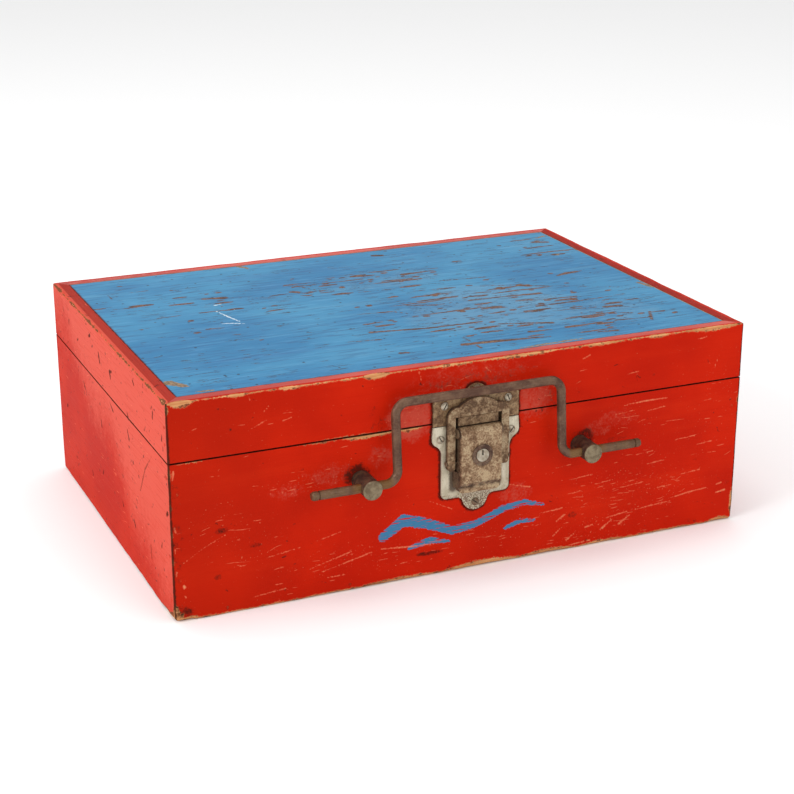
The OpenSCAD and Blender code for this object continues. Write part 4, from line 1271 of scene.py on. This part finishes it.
def make_bail(around=24):
    """The bent steel rod, slightly pitted, with chamfered tips and their grooves."""
    half = bail_path()
    path = np.array(half + [(-x, v) for x, v in half[-2::-1]])
    up = np.array([0, math.sin(LEAN), math.cos(LEAN)])
    flat = np.array([0, math.cos(LEAN), -math.sin(LEAN)])
    centres = PIVOT + path[:, :1] * np.array([1.0, 0, 0]) + path[:, 1:] * up
    ahead = np.gradient(centres, axis=0)
    ahead /= np.linalg.norm(ahead, axis=1)[:, None]
    from_tip = np.where(path[:, 1] < 1e-6, TIP_X - np.abs(path[:, 0]), 99.0)
    radius = ROD_R - TIP_CHAMFER * (1 - smooth(from_tip, 0, 1.3))
    in_groove = (from_tip > GROOVE[0] - 0.05) & (from_tip < GROOVE[1] + 0.05)
    radius = np.where(in_groove, ROD_R - GROOVE_DEPTH, radius)
    angles = 2 * math.pi * np.arange(around) / around
    other = np.cross(ahead, flat)[:, None]
    out = np.cos(angles)[:, None] * flat + np.sin(angles)[:, None] * other
    surface = (centres[:, None] + out * radius[:, None, None]).reshape(-1, 3)
    pits = 0.05 + 0.05 * waves(surface, 2.2, 6) + 0.06 * waves(surface, 9, 7)
    shaped = surface - out.reshape(-1, 3) * np.clip(pits, 0, None)[:, None]
    piece = new_piece("bail_rod", "handle", shaped,
                      tube_faces(len(path), around), [HANDLE])
    crease(piece, 50)
    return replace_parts(piece, "handle_bail")


make_bail()

# ---------- metal pieces that keep their CAD shape ----------


def dress(node, material, bevel):
    """Gives a CAD node its material, and rounds its edges a little with modifiers."""
    piece = frame["nodes"][node]
    piece.data.materials.clear()
    piece.data.materials.append(material)
    modifiers = {
        "weld": ("WELD", {"merge_threshold": 0.01 * MM}),
        "flat": ("DECIMATE", {"decimate_type": "DISSOLVE", "angle_limit": math.radians(0.6)}),
        "soft": ("BEVEL", {"width": bevel * MM, "segments": 2, "limit_method": "ANGLE",
                           "angle_limit": math.radians(32), "use_clamp_overlap": True,
                           "miter_outer": "MITER_ARC"}),
        "shade": ("WEIGHTED_NORMAL", {"keep_sharp": True}),
    }
    for name, (kind, settings) in modifiers.items():
        modifier = piece.modifiers.new(name, kind)
        for key, value in settings.items():
            setattr(modifier, key, value)
    for p in piece.data.polygons:
        p.use_smooth = True


# Material of each metal node, and how far in mm its edges are rounded
METAL = {
    "left_handle_post": (POST, 0.35), "right_handle_post": (POST, 0.35),
    "post_washers": (DULL, 0.25), "post_nuts": (DULL, 0.5),
    "lock_base_plate": (PLATED, 0.4), "lock_base_screws": (SCREW, 0.18),
    "lever_hinge_pin": (DULL, 0.3), "lock_staple": (DULL, 0.25),
    "left_hinge_case_leaf": (DARK_IRON, 0.25), "right_hinge_case_leaf": (DARK_IRON, 0.25),
    "left_hinge_lid_leaf": (DARK_IRON, 0.25), "right_hinge_lid_leaf": (DARK_IRON, 0.25),
    "left_hinge_pin": (DULL, 0.3), "right_hinge_pin": (DULL, 0.3),
    "hinge_case_screws": (DULL, 0.12), "hinge_lid_screws": (DULL, 0.12),
    "catch_plate": (CATCH_IRON, 0.35), "catch_keeper": (KEEPER_IRON, 0.4),
    "catch_screws": (SCREW, 0.18), "lever_case": (LEVER_IRON, 0.7),
    "link_rivets": (DULL, 0.25), "key_collar": (DARK_IRON, 0.25),
    "draw_link": (LINK_IRON, 0.7), "key_plug": (PLUG, 0.2),
    "lock_cam": (DULL, 0.3), "cam_screw": (DULL, 0.15),
}
for node_name, (finish_of, round_by) in METAL.items():
    dress(node_name, finish_of, round_by)

# ---------- floor, light and camera, in metres ----------

FLOOR_HALF = 30.0
LIGHT_TARGET = Vector((0, 0, 0.07))
CAMERA_AT = (-0.4676, -1.0904, 0.4959)
CAMERA_TURN = math.radians(23.59)
CAMERA_DOWN = math.radians(19.65)
CAMERA_LENS = 81.0


def add_object(name, data, place=(0, 0, 0), aim=None):
    """A new object at a place, its -Z pointing along aim if there is one."""
    item = bpy.data.objects.new(name, data)
    bpy.context.scene.collection.objects.link(item)
    item.location = place
    if aim:
        item.rotation_mode = "QUATERNION"
        item.rotation_quaternion = aim.to_track_quat("-Z", "Y")
    return item


def make_floor():
    """A wide pale floor that the camera can't see the end of."""
    mesh = bpy.data.meshes.new("floor")
    a = FLOOR_HALF
    mesh.from_pydata([(-a, -a, 0), (a, -a, 0), (a, a, 0), (-a, a, 0)], [], [(0, 1, 2, 3)])
    f = Finish("floor", Base_Color=(0.98, 0.98, 0.98, 1), Roughness=0.9,
               Specular_IOR_Level=0.1)
    mesh.materials.append(f.material)
    add_object("floor", mesh)


def make_light(name, place, energy, size):
    """A square lamp that points at the middle of the case."""
    lamp = bpy.data.lights.new(name, "AREA")
    lamp.energy = energy
    lamp.size = size
    add_object(name, lamp, place, LIGHT_TARGET - Vector(place))


def make_world(strength):
    """Even white light from all round."""
    world = bpy.data.worlds.new("studio")
    bpy.context.scene.world = world
    world.use_nodes = True
    back_light = world.node_tree.nodes["Background"]
    back_light.inputs["Color"].default_value = (1, 1, 1, 1)
    back_light.inputs["Strength"].default_value = strength


def make_camera():
    """The photograph's view: from the left and above, through a long lens."""
    data = bpy.data.cameras.new("camera")
    data.lens = CAMERA_LENS
    level = math.cos(CAMERA_DOWN)
    ahead = Vector((math.sin(CAMERA_TURN) * level, math.cos(CAMERA_TURN) * level,
                    -math.sin(CAMERA_DOWN)))
    bpy.context.scene.camera = add_object("camera", data, CAMERA_AT, ahead)


make_floor()
make_world(0.8)
make_light("key", (-2.0, -0.45, 1.2), 26, 1.2)
make_light("front", (0.8, -2.0, 1.1), 7, 1.4)
make_light("top", (0, 0.3, 2.4), 14, 1.6)
make_camera()
bpy.context.scene.view_settings.view_transform = "Standard"

bpy.context.view_layer.update()
